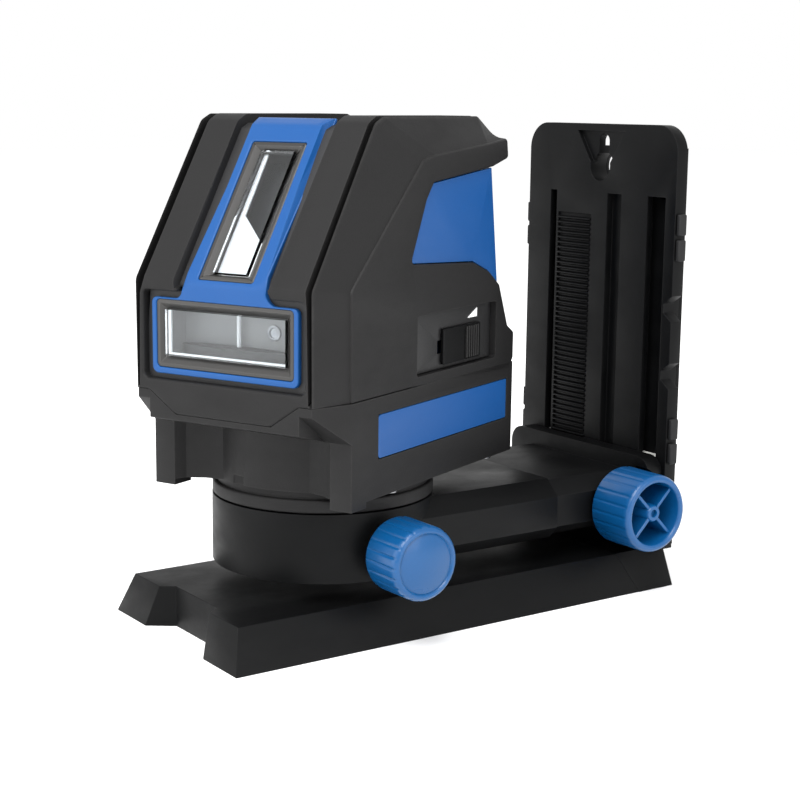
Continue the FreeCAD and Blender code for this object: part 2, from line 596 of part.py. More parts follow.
def carriage_block():
    """The block that carries the lift gears and slides on the column."""
    side = "arm_width / 2 - block_inset"
    body = arm_section("block_inset", ("arm_joint", "plate_front + plate_overlap"))
    rear = "column_front - slide_gap"
    plate = block(("-plate_width / 2", "plate_width / 2"), ("plate_front", rear),
                  ("arm_bottom", "plate_top"))
    plate = rounded(plate, SIZES["plate_corner"], lambda edge: along(edge, V(0, 1, 0))
                    and edge.CenterOfMass.z > SIZES["plate_top"] - 1)
    hollow = arm_section("arm_wall + block_inset", ("arm_joint", "plate_front"))
    ribs = [block(x, ("lift_shaft_place - rib_reach", "plate_front"),
                  ("arm_bottom + arm_wall", "arm_top - arm_wall"))
            for x in gear_ribs()]
    knob = "lift_knob_radius + knob_clearance"
    tools = [
        rod("x", knob, ("lift_shaft_place", "shaft_height"), (side, "plate_width / 2")),
        rod("x", "bush_radius", ("lift_shaft_place", "shaft_height"),
            (f"{side} - arm_wall - bush_seat", side)),
        rod("x", "shaft_radius + 0.3", ("lift_shaft_place", "shaft_height"), (f"-({side})", side)),
        rod("x", "idler_pin_radius", (IDLER_PLACE, "shaft_height"),
            idler_pin_span()),
        block(gear_room(), ("lift_shaft_place - gear_pocket", rear),
              ("shaft_height - gear_pocket", "shaft_height + gear_pocket")),
        block(("-rack_end - slide_gap", "-rack_start + slide_gap"),
              (f"{RACK_LINE} - lift_module * 0.92 - slide_gap", rear), ("arm_bottom", "plate_top")),
        gear_opening("0", "gear_cover_thickness"),
    ]
    for place in block_screw_places():
        tools.append(rod("y", "small_screw", place, ("arm_joint", "arm_joint + block_screw_bite")))
    lugs = [rod("y", "small_screw + lug_wall", place, ("arm_joint", "arm_joint + block_screw_bite"))
            for place in block_screw_places()]
    ledge = gear_ledge("arm_joint", "gear_cover_end")
    node("carriage_block", cut(join(cut(join(body, plate), hollow), ledge, *ribs, *lugs),
                               *tools, *cover_holes(1)))


def gear_room():
    """The stretch of X that is kept free for the lift gears."""
    return ("-gear_place - lift_gear_width / 2 - gear_gap", "-gear_place + lift_gear_width / 2 + gear_gap")


def gear_ribs():
    """The two ribs on either side of the lift gears, as x spans."""
    left, right = gear_room()
    return ((f"{left} - rib_width", left), (right, f"{right} + rib_width"))


def idler_pin_span():
    """The stretch of X between the outer faces of both ribs."""
    left, right = gear_room()
    return (f"{left} - rib_width", f"{right} + rib_width")


def gear_cover():
    """The plate that closes the arm from below."""
    holes = [rod("z", "small_screw", place, ("arm_bottom", "arm_bottom + gear_cover_thickness"))
             for place in gear_cover_places()]
    heads = [rod("z", "small_head", place, ("arm_bottom", "arm_bottom + small_head_length"))
             for place in gear_cover_places()]
    node("gear_cover", cut(gear_opening("base_gap", "gear_cover_thickness"), *holes, *heads))


def gear_cover_screws():
    """Four screws that hold the gear cover."""
    node("gear_cover_screws", *[screw("z", place, ("arm_bottom", "arm_bottom + small_head_length"),
                                      ("arm_bottom + small_head_length",
                                       "arm_bottom + arm_wall + ledge_rise"))
                                for place in gear_cover_places()])


def block_screws():
    """Two screws that pull the block against the arm."""
    seat = "arm_joint + block_screw_bite"
    node("block_screws", *[screw("y", place, (seat, f"{seat} + small_head_length"),
                                 ("arm_joint - block_screw_grip", seat))
                           for place in block_screw_places()])


def guide_shoes():
    """Two hooked shoes that run in the column's undercut grooves."""
    stem = ("column_front - slide_gap", "column_front + groove_mouth_depth + shoe_gap")
    hook = ("column_front + groove_mouth_depth + shoe_gap",
            "column_front + groove_mouth_depth + undercut_depth - shoe_gap")
    tall = ("arm_bottom", "plate_top - 1")
    right_end, left_start = "right_groove_end - shoe_gap", "-left_groove_start - shoe_gap"
    right = join(block(("right_groove_start + shoe_gap", right_end), stem, tall),
                 block(("right_groove_start - right_undercut + shoe_gap", right_end), hook, tall))
    left = join(block(("-left_groove_end + shoe_gap", left_start), stem, tall),
                block(("-left_groove_end - left_undercut + shoe_gap", left_start), hook, tall))
    node("guide_shoes", right, left)


def bush(place, span):
    """A plain bush for one of the hand-knob shafts."""
    return cut(rod("x", "bush_radius", (place, "shaft_height"), span),
               rod("x", "shaft_radius + run_gap", (place, "shaft_height"), span))


def shaft_bushes():
    """One bush in the drum's wall and one in the block's wall."""
    side = "arm_width / 2 - block_inset"
    node("shaft_bushes",
         bush("0", ("drum_radius - drum_wall - 1", "turn_knob_start - table_gap")),
         bush("lift_shaft_place", (f"{side} - arm_wall - bush_seat", side)))


def spindle_bush():
    """The bush that the turntable's spindle runs in."""
    span = ("drum_bottom + drum_floor", "boss_top")
    node("spindle_bush", cut(rod("z", "spindle_bush", (0, 0), span),
                             rod("z", "spindle_radius + run_gap", (0, 0), span)))


def idler_pin():
    """The fixed pin that the idler gear turns on."""
    node("idler_pin", rod("x", "idler_pin_radius", (IDLER_PLACE, "shaft_height"),
                          idler_pin_span()))


# ---------------------------------------------------------------- lift knob and its gears

LIFT_AXIS = ("lift_shaft_place", "shaft_height")


def lift_knob():
    """An open-ended hand knob: a rim, a web and a hub with four spokes."""
    start = "lift_knob_start + run_gap * 4"
    end = "lift_knob_start + lift_knob_length"
    shell = rod("x", "lift_knob_radius", LIFT_AXIS, (start, end))
    cup = rod("x", "lift_knob_radius - lift_rim", LIFT_AXIS, (f"{start} + lift_web", end))
    hub = rod("x", "lift_hub", LIFT_AXIS, (f"{start} + lift_web / 2", f"{end} - 1"))
    spokes = [block((f"{start} + lift_web / 2", f"{end} - 1.5"),
                    (f"lift_shaft_place - {y}", f"lift_shaft_place + {y}"),
                    (f"shaft_height - {z}", f"shaft_height + {z}"))
              for y, z in (("0.8", "(lift_knob_radius - lift_rim / 2)"),
                           ("(lift_knob_radius - lift_rim / 2)", "0.8"))]
    bore = rod("x", "shaft_radius", LIFT_AXIS, (start, f"{end} - 4"))
    node("lift_knob", cut(join(cut(shell, cup), hub, *spokes), bore))


def lift_shaft():
    """The shaft from the lift knob through the block to its pinion."""
    node("lift_shaft", rod("x", "shaft_radius", LIFT_AXIS,
                           ("-arm_width / 2 + 6", "lift_knob_start + lift_knob_length - 4")))


def lift_gear_span():
    """The stretch of X that both lift gears occupy."""
    return ("-gear_place - lift_gear_width / 2", "-gear_place + lift_gear_width / 2")


def lift_pinion():
    """The pinion on the lift shaft."""
    node("lift_pinion", wheel(LIFT_AXIS, lift_gear_span(), "lift_module", "lift_teeth", "shaft_radius"))


def idler_gear():
    """The idler between the pinion and the rack, turned half a tooth to mesh with both."""
    gear = wheel((IDLER_PLACE, "shaft_height"), lift_gear_span(), "lift_module", "lift_teeth",
                 "idler_pin_radius + run_gap")
    gear.Placement.Rotation = FreeCAD.Rotation(V(1, 0, 0), 1)
    bind(gear, ".Placement.Rotation.Angle", "180 / lift_teeth")
    node("idler_gear", gear)


# ---------------------------------------------------------------- turn knob

def turn_knob():
    """A closed hand knob with a recessed end and a collar."""
    start, end = "turn_knob_start", "turn_knob_start + turn_knob_length"
    axis = (0, "shaft_height")
    shell = rod("x", "turn_knob_radius", axis, (f"{start} + 2", end))
    collar = rod("x", "turn_collar", axis, (start, f"{start} + 2"))
    bore = rod("x", "shaft_radius", axis, (start, f"{end} - 5"))
    node("turn_knob", cut(join(shell, collar), bore))


def turn_shaft():
    """The shaft from the turn knob into the drum."""
    node("turn_shaft", rod("x", "shaft_radius", (0, "shaft_height"),
                           ("boss_radius + 2.5", "turn_knob_start + turn_knob_length - 5")))


def turn_pinion():
    """The pinion under the crown gear."""
    span = (f"{CROWN_RADIUS} - crown_face / 2 - 0.3", f"{CROWN_RADIUS} + crown_face / 2 + 0.3")
    node("turn_pinion", wheel((0, "shaft_height"), span, "turn_module", "turn_teeth", "shaft_radius"))


# ---------------------------------------------------------------- turntable

def turntable_disc():
    """The disc that the laser stands on."""
    span = ("drum_top + table_gap", "table_top")
    node("turntable_disc", cut(rod("z", "table_radius", (0, 0), span),
                               rod("z", "spindle_radius", (0, 0), span)))


def crown_gear():
    """A ring with teeth on its lower face, each a wedge that widens outwards."""
    body = doc.addObject("PartDesign::Body", "crown")
    inner, outer = f"{CROWN_RADIUS} - crown_face / 2", f"{CROWN_RADIUS} + crown_face / 2"
    root, top = f"{CROWN_LINE} + turn_module * 1.25", "drum_top + table_gap"
    ring = body.newObject("PartDesign::AdditiveCylinder", "ring")
    bind(ring, "Radius", f"{outer} + 1")
    bind(ring, "Height", f"{top} - ({root})")
    bind(ring, ".Placement.Base.z", root)
    line = sketch_on(body, "XY_Plane", [
        (inner, f"-({inner}) * crown_tooth_slope"), (outer, f"-({outer}) * crown_tooth_slope"),
        (outer, f"({outer}) * crown_tooth_slope"), (inner, f"({inner}) * crown_tooth_slope")],
        f"{CROWN_LINE} - turn_module * 0.85")
    tooth = body.newObject("PartDesign::Pad", "tooth")
    tooth.Profile = line
    bind(tooth, "Length", "turn_module * 2.15")
    teeth = body.newObject("PartDesign::PolarPattern", "teeth")
    teeth.Originals = [tooth]
    teeth.Axis = (axis_of(body, "Z_Axis"), [""])
    bind(teeth, "Occurrences", "crown_teeth")
    body.Tip = teeth
    hole = body.newObject("PartDesign::SubtractiveCylinder", "hole")
    bind(hole, "Radius", f"{inner} - 1")
    bind(hole, "Height", f"{top} - ({root}) + 1")
    bind(hole, ".Placement.Base.z", root)
    body.Tip = hole
    body.Placement = FreeCAD.Placement(V(), FreeCAD.Rotation(V(0, 0, 1), 1))
    bind(body, ".Placement.Rotation.Angle", "180 / crown_teeth")
    node("crown_gear", body)


def turntable_spindle():
    """The hollow spindle under the disc."""
    span = ("drum_bottom + spindle_lift", "table_top")
    outer = rod("z", "spindle_radius", (0, 0), span)
    bore = rod("z", "clamp_radius + clamp_gap", (0, 0), span)
    node("turntable_spindle", cut(outer, bore))


def spindle_clip():
    """The ring that keeps the spindle in the drum."""
    span = ("drum_bottom + drum_floor - clip_start", "drum_bottom + drum_floor - clip_end")
    node("spindle_clip", cut(rod("z", "spindle_bush + clip_lip", (0, 0), span),
                             rod("z", "spindle_radius", (0, 0), span)))


def clamp_screw():
    """The thumbscrew that holds the laser down on the turntable."""
    foot = "drum_bottom - clamp_drop"
    head = rod("z", "clamp_head - clamp_room", (0, 0), (foot, f"{foot} + clamp_head_height"))
    shank = rod("z", "clamp_radius", (0, 0), (foot, "clamp_reach"))
    node("clamp_screw", join(head, shank))


# ---------------------------------------------------------------- head: cases

def deep(v):
    """A depth behind the head's front face, as a distance from the turntable's axis."""
    return f"({v}) - head_reach"


def deep_line(points):
    """A side outline given as depth and height, as seen from the turntable's axis."""
    return [(deep(v), z) for v, z in points]


def slant(run, depth):
    """A point a way up the slanted front face and a depth under it."""
    return (f"({run}) * slant_run / {SLANT} + ({depth}) * slant_rise / {SLANT}",
            f"face_top + ({run}) * slant_rise / {SLANT} - ({depth}) * slant_run / {SLANT}")


def head_profile(low="seam_height", wall="0", front="0"):
    """The upper housing's side outline, drawn smaller by a wall thickness."""
    foot_v = f"tail_top + {TAIL_LEAN} * (tail_height - seam_height)"
    return [
        (f"{front} + {wall}", low),
        (f"{front} + {wall}", f"face_top - ({wall}) * 0.55"),
        (f"slant_run + ({wall}) * 0.9", f"face_top + slant_rise - ({wall}) * 0.5"),
        (f"top_front + ({wall}) * 0.6", f"head_top - {wall}"),
        (f"top_rear - {wall} * 0.4", f"head_top - {wall}"),
        (f"nose - {wall}", f"nose_height - ({wall}) * 0.5"),
        (f"nose_tip - ({wall}) * 1.3", f"nose_low + ({wall}) * 0.8"),
        (f"tail_top - {wall}", f"tail_height + ({wall}) * 0.8"),
        (f"{foot_v} - {wall}", low),
    ]


def lower_case():
    """The bottom shell: a box with a round front between two corner posts that blend into it."""
    half, wall = "head_width / 2", "case_wall"
    tall = ("case_bottom", "seam_height")
    box = block((f"-{half}", half), (deep("case_front"), deep("case_rear")), tall)
    drum = rod("z", "case_round", (0, 0), tall)
    base = rod("z", "case_round - 1", (0, 0), ("table_top", "case_bottom"))
    posts = [block(x, (deep("case_front"), deep("case_front + blend_depth")), ("post_bottom", "case_bottom"))
             for x in mirrored("post_inner", half)]
    inner_z = (f"case_bottom + {wall}", "seam_height")
    apron = cut(apron_outline(("apron_low", "seam_height")), *apron_slopes())
    tools = [
        block((f"-{half} + {wall}", f"{half} - {wall}"), (deep("case_front"), deep(f"apron_rear - {wall}")),
              (f"apron_low + {wall}", "seam_height")),
        chin(),
        block((f"-{half} + {wall}", f"{half} - {wall}"), (deep("cell_room"), deep(f"case_rear - {wall}")),
              inner_z),
        rod("z", f"case_round - {wall}", (0, 0), inner_z),
        rod("z", "head_insert", (0, 0), ("table_top", inner_z[0])),
        block(("-door_width / 2 - door_gap", "door_width / 2 + door_gap"),
              (deep(f"case_rear - {wall} - 1.5"), deep("case_rear")),
              ("case_bottom", "door_high + door_gap")),
        rod("x", "door_pin_radius", (deep("door_pin_place"), "door_pin_height"),
            (f"-{half} + 0.8", f"{half} - 0.8")),
    ]
    for x in mirrored(f"{half} - blue_skin", half):
        tools.append(block(x, (deep("band_front"), deep("tail_low")), ("band_low", "band_high")))
    for place in case_screw_places():
        tools.append(rod("z", "small_screw", place, ("case_bottom", inner_z[0])))
        tools.append(rod("z", "small_head", place, ("table_top", "case_bottom")))
    for x in ("-rim_slot_left", "rim_slot_right"):
        tools.append(block((f"{x} - rim_slot_width / 2", f"{x} + rim_slot_width / 2"),
                           (deep("case_front"), deep("case_front + 5")),
                           ("case_bottom", "case_bottom + rim_slot_height")))
    node("lower_case", cut(join(cut(box, front_gap(tall)), drum, base, apron, *posts), *tools), in_head=True)


def front_gap(z_span):
    """The space between both corner posts, whose sides curve in towards the round front."""
    side = [("post_inner", "case_front"), ("post_inner - blend_sag * 0.6", "case_front + blend_sag * 1.4"),
            ("post_inner - blend_run + blend_sag * 2", "case_front + blend_depth - blend_sag * 0.45"),
            ("post_inner - blend_run", "case_front + blend_depth")]
    right = [(u, deep(v)) for u, v in side]
    left = [(f"-({u})", deep(v)) for u, v in reversed(side)]
    return prism("XY", right + left, z_span)


def apron_slopes():
    """What the skirt's sloping underside leaves away: little under the chin, more at both corners."""
    slopes = []
    for x, high in ((("-chin_top_width / 2", "chin_top_width / 2"), "chin_low - apron_lip"),
                    (("chin_top_width / 2", "head_width / 2"), "seam_height - apron_lip * 1.5"),
                    (("-head_width / 2", "-chin_top_width / 2"), "seam_height - apron_lip * 1.5")):
        slopes.append(prism("YZ", deep_line([("apron_front", "apron_low"), ("apron_front", high),
                                             ("case_front", "apron_low")]), x))
    return slopes


def apron_outline(z_span):
    """The skirt that carries the upper housing's bevelled front on down."""
    inner, outer = "module_width / 2", "head_width / 2"
    front, rear = deep("apron_front"), deep("apron_rear")
    return prism("XY", [(f"-({inner})", front), (inner, front), (outer, deep("cheek_bevel")), (outer, rear),
                        (f"-({outer})", rear), (f"-({outer})", deep("cheek_bevel"))], z_span)


def chin():
    """The tongue under the upper housing's front that dips into the skirt."""
    return prism("XZ", [("-chin_top_width / 2", "seam_height"), ("-chin_width / 2", "chin_low"),
                        ("chin_width / 2", "chin_low"), ("chin_top_width / 2", "seam_height")],
                 (deep("0"), deep("chin_rear")))


def case_screw_places():
    """The four screws that hold the two cases together, as x and y in the head."""
    return [(x, deep(v)) for x in ("case_screw_spacing / 2", "-case_screw_spacing / 2")
            for v in ("case_screw_front", "case_screw_rear")]


def upper_case():
    """The core of the upper housing, open at the back and at both windows."""
    half = "module_width / 2"
    outer = prism("YZ", deep_line(head_profile()), (f"-{half}", half))
    inner = prism("YZ", deep_line(head_profile(wall="case_wall")),
                  (f"-{half} + case_wall", f"{half} - case_wall"))
    back = prism("YZ", deep_line(tail_outline("case_wall")), (f"-{half}", half))
    slot = slanted(("-slot_width / 2", "slot_width / 2"), ("0.3", "strip_length + 1"), ("0", "strip_recess"))
    strip = slanted(("-strip_width / 2", "strip_width / 2"), ("0.5", "strip_length"),
                    ("strip_recess", "strip_recess + strip_thickness"))
    hole = slanted(("-bezel_width / 2", "bezel_width / 2"), ("bezel_start + 1", "bezel_end"), ("0", "6"))
    recess = block(("-front_recess_width / 2", "front_recess_width / 2"),
                   (deep("0"), deep("frame_thickness")), ("front_recess_low", "front_recess_high"))
    lower_hole = block(("-window_width / 2", "window_width / 2"), (deep("0"), deep("6")),
                       ("window_low", "window_high"))
    slider = slider_slot((f"{half} - case_wall", half))
    floor = block((f"-{half}", half), (deep("0"), deep("chin_rear")),
                  ("seam_height", "seam_height + case_wall"))
    channel = block(("-slot_width / 2", "slot_width / 2"), (deep("slant_run"), deep("nose")),
                    ("head_top - strip_recess", "head_top"))
    shell = cut(outer, inner, back, slot, channel, strip, hole, recess, lower_hole, slider)
    node("upper_case", join(shell, floor, chin()), in_head=True)


def slanted(x_span, runs, depths):
    """A slab parallel to the slanted front face."""
    corners = [slant(runs[0], depths[0]), slant(runs[1], depths[0]),
               slant(runs[1], depths[1]), slant(runs[0], depths[1])]
    return prism("YZ", deep_line(corners), x_span)


def tail_outline(thickness):
    """The leaning back wall, between the nose's underside and the seam."""
    foot_v = f"tail_top + {TAIL_LEAN} * (tail_height - seam_height)"
    return [("tail_top", "tail_height"), (foot_v, "seam_height"),
            (f"{foot_v} - {thickness}", "seam_height"), (f"tail_top - {thickness}", "tail_height")]


def rear_cover():
    """The leaning blue cover that closes the back of the upper housing."""
    half = "module_width / 2"
    node("rear_cover", prism("YZ", deep_line(tail_outline("case_wall")), (f"-{half}", half)), in_head=True)




def upper_blue_outline():
    """The blue shell's outline on either side, back to the leaning wall."""
    return [("51.2", "121.5"), ("47.7", "117.2"), ("40", "100.8"), ("73.9", "99"), ("82.8", "95.8"),
            (f"tail_top + {TAIL_LEAN} * (tail_height - blue_low)", "blue_low"),
            ("tail_top", "tail_height")]


def cheek(side):
    """One side shell: a bevelled front, an opening for the blue shell and a tail."""
    outline = [("0", "seam_height"), ("0", "face_top"), ("slant_run", "face_top + slant_rise"),
               ("top_front", "head_top"), ("top_rear", "head_top"), ("nose", "nose_height"),
               ("nose_tip", "nose_low"), ("tail_top", "tail_height"),
               (f"tail_top + {TAIL_LEAN} * (tail_height - blue_low)", "blue_low"),
               ("arm_rear - 4", "arm_tail_top"), ("arm_rear", "arm_tail_top - 2"),
               ("arm_rear", "arm_tail_low + 3"), ("arm_rear - 3", "seam_height")]
    inner, outer = "module_width / 2", "head_width / 2"
    spans = {"right": (inner, outer), "left": (f"-({outer})", f"-({inner})")}
    sign = {"right": "", "left": "-"}[side]
    slab = prism("YZ", deep_line(outline), spans[side])
    bevel = prism("XY", [(f"{sign}({inner})", deep("0")), (f"{sign}({outer})", deep("cheek_bevel")),
                         (f"{sign}({outer} + 1)", deep("cheek_bevel")),
                         (f"{sign}({outer} + 1)", deep("0"))], ("seam_height", "head_top"))
    behind = [("arm_rear", "blue_low"), ("arm_rear", "tail_height")]
    blue = upper_blue_outline()
    opening = prism("YZ", deep_line([*blue[:-1], *behind, blue[-1]]), spans[side])
    tools = [bevel, opening]
    if side == "right":
        tools.append(block((f"{outer} - switch_depth", outer), (deep("switch_front"), deep("switch_rear")),
                           ("switch_low", "switch_high")))
        tools.append(slider_slot((inner, outer)))
    node(f"{side}_cheek", cut(slab, *tools), in_head=True)


def slider_slot(x_span):
    """The slot that the slider's tongue moves in."""
    middle = "(slider_low + slider_high) / 2"
    rear = "slider_rear - slider_length / 2 + tongue_length / 2 + 0.5"
    return block(x_span, (deep(f"{rear} - tongue_length - 1 - slider_travel"), deep(rear)),
                 (f"{middle} - tongue_height / 2 - 0.3", f"{middle} + tongue_height / 2 + 0.3"))


def side_panels():
    """The two pieces of the blue shell that show through the cheeks."""
    spans = mirrored("module_width / 2", "head_width / 2 - blue_skin / 2")
    node("side_panels", *[prism("YZ", deep_line(upper_blue_outline()), x) for x in spans], in_head=True)


def side_bands():
    """The blue bands along both sides of the lower case."""
    spans = mirrored("head_width / 2 - blue_skin", "head_width / 2")
    node("side_bands", *[block(x, (deep("band_front"), deep("tail_low")), ("band_low", "band_high"))
                         for x in spans], in_head=True)


# ---------------------------------------------------------------- head: windows

def window_strip():
    """The blue strip along the slanted face, open for the window."""
    strip = slanted(("-strip_width / 2", "strip_width / 2"), ("0.5", "strip_length"),
                    ("strip_recess", "strip_recess + strip_thickness"))
    hole = slanted(("-bezel_width / 2", "bezel_width / 2"), ("bezel_start + 1", "bezel_end"),
                   ("0", "strip_recess + strip_thickness"))
    node("window_strip", cut(strip, hole), in_head=True)


def upper_window_frame():
    """The dark frame of the slanted window."""
    outer = slanted(("-bezel_width / 2", "bezel_width / 2"), ("bezel_start + 1", "bezel_end"),
                    ("strip_recess - 0.5", "strip_recess + strip_thickness + 1"))
    hole = slanted(("-glass_width / 2", "glass_width / 2"), ("glass_start", "glass_end"),
                   ("0", "strip_recess + strip_thickness + 1"))
    node("upper_window_frame", cut(outer, hole), in_head=True)


def upper_window():
    """The glass of the slanted window."""
    node("upper_window", slanted(("-glass_width / 2", "glass_width / 2"), ("glass_start", "glass_end"),
                                 ("strip_recess", "strip_recess + glass_thickness")), in_head=True)


def lower_window_frame():
    """The blue frame of the front window, with its grey inner border."""
    depth = (deep("0.2"), deep("frame_thickness"))
    outer = block(("-frame_width / 2", "frame_width / 2"), depth, ("frame_low", "frame_high"))
    step = block(("-frame_inner_width / 2", "frame_inner_width / 2"), (deep("0.2"), deep("1.2")),
                 ("frame_inner_low", "frame_inner_high"))
    hole = block(("-window_width / 2", "window_width / 2"), depth, ("window_low", "window_high"))
    node("lower_window_frame", cut(outer, step, hole), in_head=True)


def lower_window():
    """The glass of the front window."""
    node("lower_window", block(("-window_width / 2", "window_width / 2"),
                               (deep("1.3"), deep("1.3 + glass_thickness")),
                               ("window_low", "window_high")), in_head=True)


# ---------------------------------------------------------------- head: switch, door, batteries

def lock_slider():
    """The ribbed slider of the power and transport lock, with its tongue."""
    floor = "head_width / 2 - switch_depth + run_gap"
    front = "slider_rear - slider_length"
    pad = block((floor, f"{floor} + slider_thickness - run_gap"), (deep(front), deep("slider_rear")),
                ("slider_low", "slider_high"))
    middle, centre = "(slider_low + slider_high) / 2", "slider_rear - slider_length / 2"
    tongue = block((f"{floor} - tongue_reach", floor),
                   (deep(f"{centre} - tongue_length / 2"), deep(f"{centre} + tongue_length / 2")),
                   (f"{middle} - tongue_height / 2", f"{middle} + tongue_height / 2"))
    ribs = [block((f"{floor} + slider_thickness - 0.6", f"{floor} + slider_thickness"),
                  (deep(f"{front} + {0.9 + 2 * step}"), deep(f"{front} + {1.9 + 2 * step}")),
                  ("slider_low + 0.8", "slider_high - 0.8")) for step in range(10)]
    node("lock_slider", join(cut(pad, *ribs), tongue), in_head=True)


def battery_door():
    """The flap over the batteries with its hinge barrel."""
    plate = block(("-door_width / 2", "door_width / 2"),
                  (deep("case_rear - door_thickness"), deep("case_rear")),
                  ("door_pin_height + 0.6", "door_high"))
    axis = (deep("door_pin_place"), "door_pin_height")
    barrel = rod("x", "door_barrel", axis, ("-door_width / 2", "door_width / 2"))
    bore = rod("x", "door_pin_radius + run_gap", axis, ("-door_width / 2", "door_width / 2"))
    node("battery_door", cut(join(plate, barrel), bore), in_head=True)


def door_pin():
    """The hinge pin of the battery door."""
    node("door_pin", rod("x", "door_pin_radius", (deep("door_pin_place"), "door_pin_height"),
                         ("-head_width / 2 + 0.8", "head_width / 2 - 0.8")), in_head=True)


def battery_tray():
    """An open tray that holds the cells, with end walls for the contacts."""
    low = "case_bottom + case_wall"
    rear = deep("case_rear - case_wall - tray_rear_gap")
    box = block(("-tray_width / 2", "tray_width / 2"), (deep("tray_front"), rear), (low, "tray_high"))
    reach = "cell_length / 2 + contact_thickness + contact_gap"
    hollow = block((f"-({reach})", reach), (deep("tray_front + tray_wall"), rear),
                   ("cell_height - cell_radius", "tray_high"))
    holes = [rod("z", "small_screw + screw_gap", place, (low, "tray_high")) for place in case_screw_places()]
    node("battery_tray", cut(box, hollow, *holes), in_head=True)


def battery_places():
    """The depths of the three cells' axes."""
    return [f"cell_first + cell_pitch * {step}" for step in range(3)]


def battery_cells():
    """Three penlight cells side by side."""
    node("battery_cells", *[rod("x", "cell_radius", (deep(v), "cell_height"),
                                ("-cell_length / 2", "cell_length / 2"))
                            for v in battery_places()], in_head=True)


def battery_contacts():
    """A spring contact plate at each end of every cell."""
    plates = []
    for v in battery_places():
        for x in mirrored("cell_length / 2 + contact_start", "cell_length / 2 + contact_thickness"):
            plates.append(block(x, (deep(f"{v} - contact_half_width"), deep(f"{v} + contact_half_width")),
                                ("cell_height - contact_half_height", "cell_height + contact_half_height")))
    node("battery_contacts", *plates, in_head=True)


def head_insert():
    """The brass insert in the laser's base that the thumbscrew clamps."""
    span = ("table_top", "case_bottom + insert_length")
    node("head_insert", cut(rod("z", "head_insert", (0, 0), span),
                            rod("z", "clamp_radius + run_gap", (0, 0), span)), in_head=True)


def case_screws():
    """Four screws from below into the inner frame."""
    node("case_screws", *[screw("z", place, ("case_bottom - 1.1", "case_bottom"),
                                ("case_bottom", "seam_height - frame_plate"))
                          for place in case_screw_places()], in_head=True)


# ---------------------------------------------------------------- head: pendulum

PIVOT = ("pivot_place - head_reach", "pivot_height")


def inner_frame():
    """The chassis at the seam, with two posts that carry the gimbal."""
    half = "head_width / 2 - case_wall - 0.2"
    plate = block((f"-({half})", half), (deep("frame_front"), deep("frame_rear")),
                  ("seam_height - frame_plate", "seam_height"))
    posts = []
    for x in mirrored("post_place", "post_place + post_width"):
        posts.append(block(x, (deep("pivot_place - 4"), deep("pivot_place + 4")),
                           ("seam_height - 0.5", "pivot_height + 4")))
    holes = [rod("x", "pivot_pin + run_gap", PIVOT, x)
             for x in mirrored("post_place", "post_place + post_width")]
    node("inner_frame", cut(join(plate, *posts), *holes), in_head=True)


def gimbal_ring():
    """A square ring on pins across the head, with holes for the pendulum's pins."""
    y_span = [deep(f"pivot_place {sign} ring_outer") for sign in "-+"]
    y_inner = [deep(f"pivot_place {sign} ring_inner") for sign in "-+"]
    tall = ("pivot_height - ring_thickness / 2", "pivot_height + ring_thickness / 2")
    ring = cut(block(("-ring_outer", "ring_outer"), y_span, tall),
               block(("-ring_inner", "ring_inner"), y_inner, tall))
    pins = [rod("x", "pivot_pin", PIVOT, x) for x in mirrored("ring_outer - 1", "post_place + 3.5")]
    holes = [rod("y", "pivot_pin + run_gap", (0, "pivot_height"), span)
             for span in ((y_span[0], y_inner[0]), (y_inner[1], y_span[1]))]
    node("gimbal_ring", cut(join(ring, *pins), *holes), in_head=True)


def pendulum_frame():
    """The body that hangs in the gimbal and carries the emitters."""
    stem = block(("-pendulum_width / 2", "pendulum_width / 2"),
                 (deep("pivot_place - pendulum_depth / 2"), deep("pivot_place + pendulum_depth / 2")),
                 ("pendulum_low", "pivot_height + 3"))
    pins = rod("y", "pivot_pin", (0, "pivot_height"),
               (deep("pivot_place - ring_inner - 2.5"), deep("pivot_place + ring_inner + 2.5")))
    seat = rod("y", "module_radius", (0, "module_height"),
               (deep("pivot_place - pendulum_depth / 2"), deep("pivot_place + pendulum_depth / 2")))
    node("pendulum_frame", cut(join(stem, pins), seat), in_head=True)


def pendulum_weight():
    """The copper weight at the pendulum's foot, which the magnet damps."""
    top = "pendulum_low - weight_neck"
    weight = block(("-weight_width / 2", "weight_width / 2"),
                   (deep("pivot_place - weight_depth / 2"), deep("pivot_place + weight_depth / 2")),
                   ("weight_low", top))
    neck = rod("z", "pivot_pin * 3", (0, deep("pivot_place")), (top, "pendulum_low"))
    node("pendulum_weight", weight, neck, in_head=True)


def laser_emitters():
    """The barrel behind the front window and the one behind the slanted window."""
    face = "pivot_place - pendulum_depth / 2"
    level = rod("y", "module_radius", (0, "module_height"),
                (deep(f"{face} - module_length"), deep("pivot_place + pendulum_depth / 2")))
    rise = rod("y", "module_radius", (0, "pivot_height - rise_drop"),
               (deep(f"{face} - rise_length"), deep(face)))
    node("laser_emitters", level, rise, in_head=True)


def damping_magnet():
    """The magnet under the pendulum's weight."""
    node("damping_magnet", rod("z", "weight_width / 3", (0, deep("pivot_place")),
                               ("seam_height", "weight_low - magnet_gap")), in_head=True)


def circuit_board():
    """The driver board under the roof of the housing."""
    board = block(("-board_width / 2", "board_width / 2"), (deep("board_front"), deep("board_rear")),
                  ("board_height", "board_height + board_thickness"))
    node("circuit_board", board, in_head=True)


# ---------------------------------------------------------------- assembly

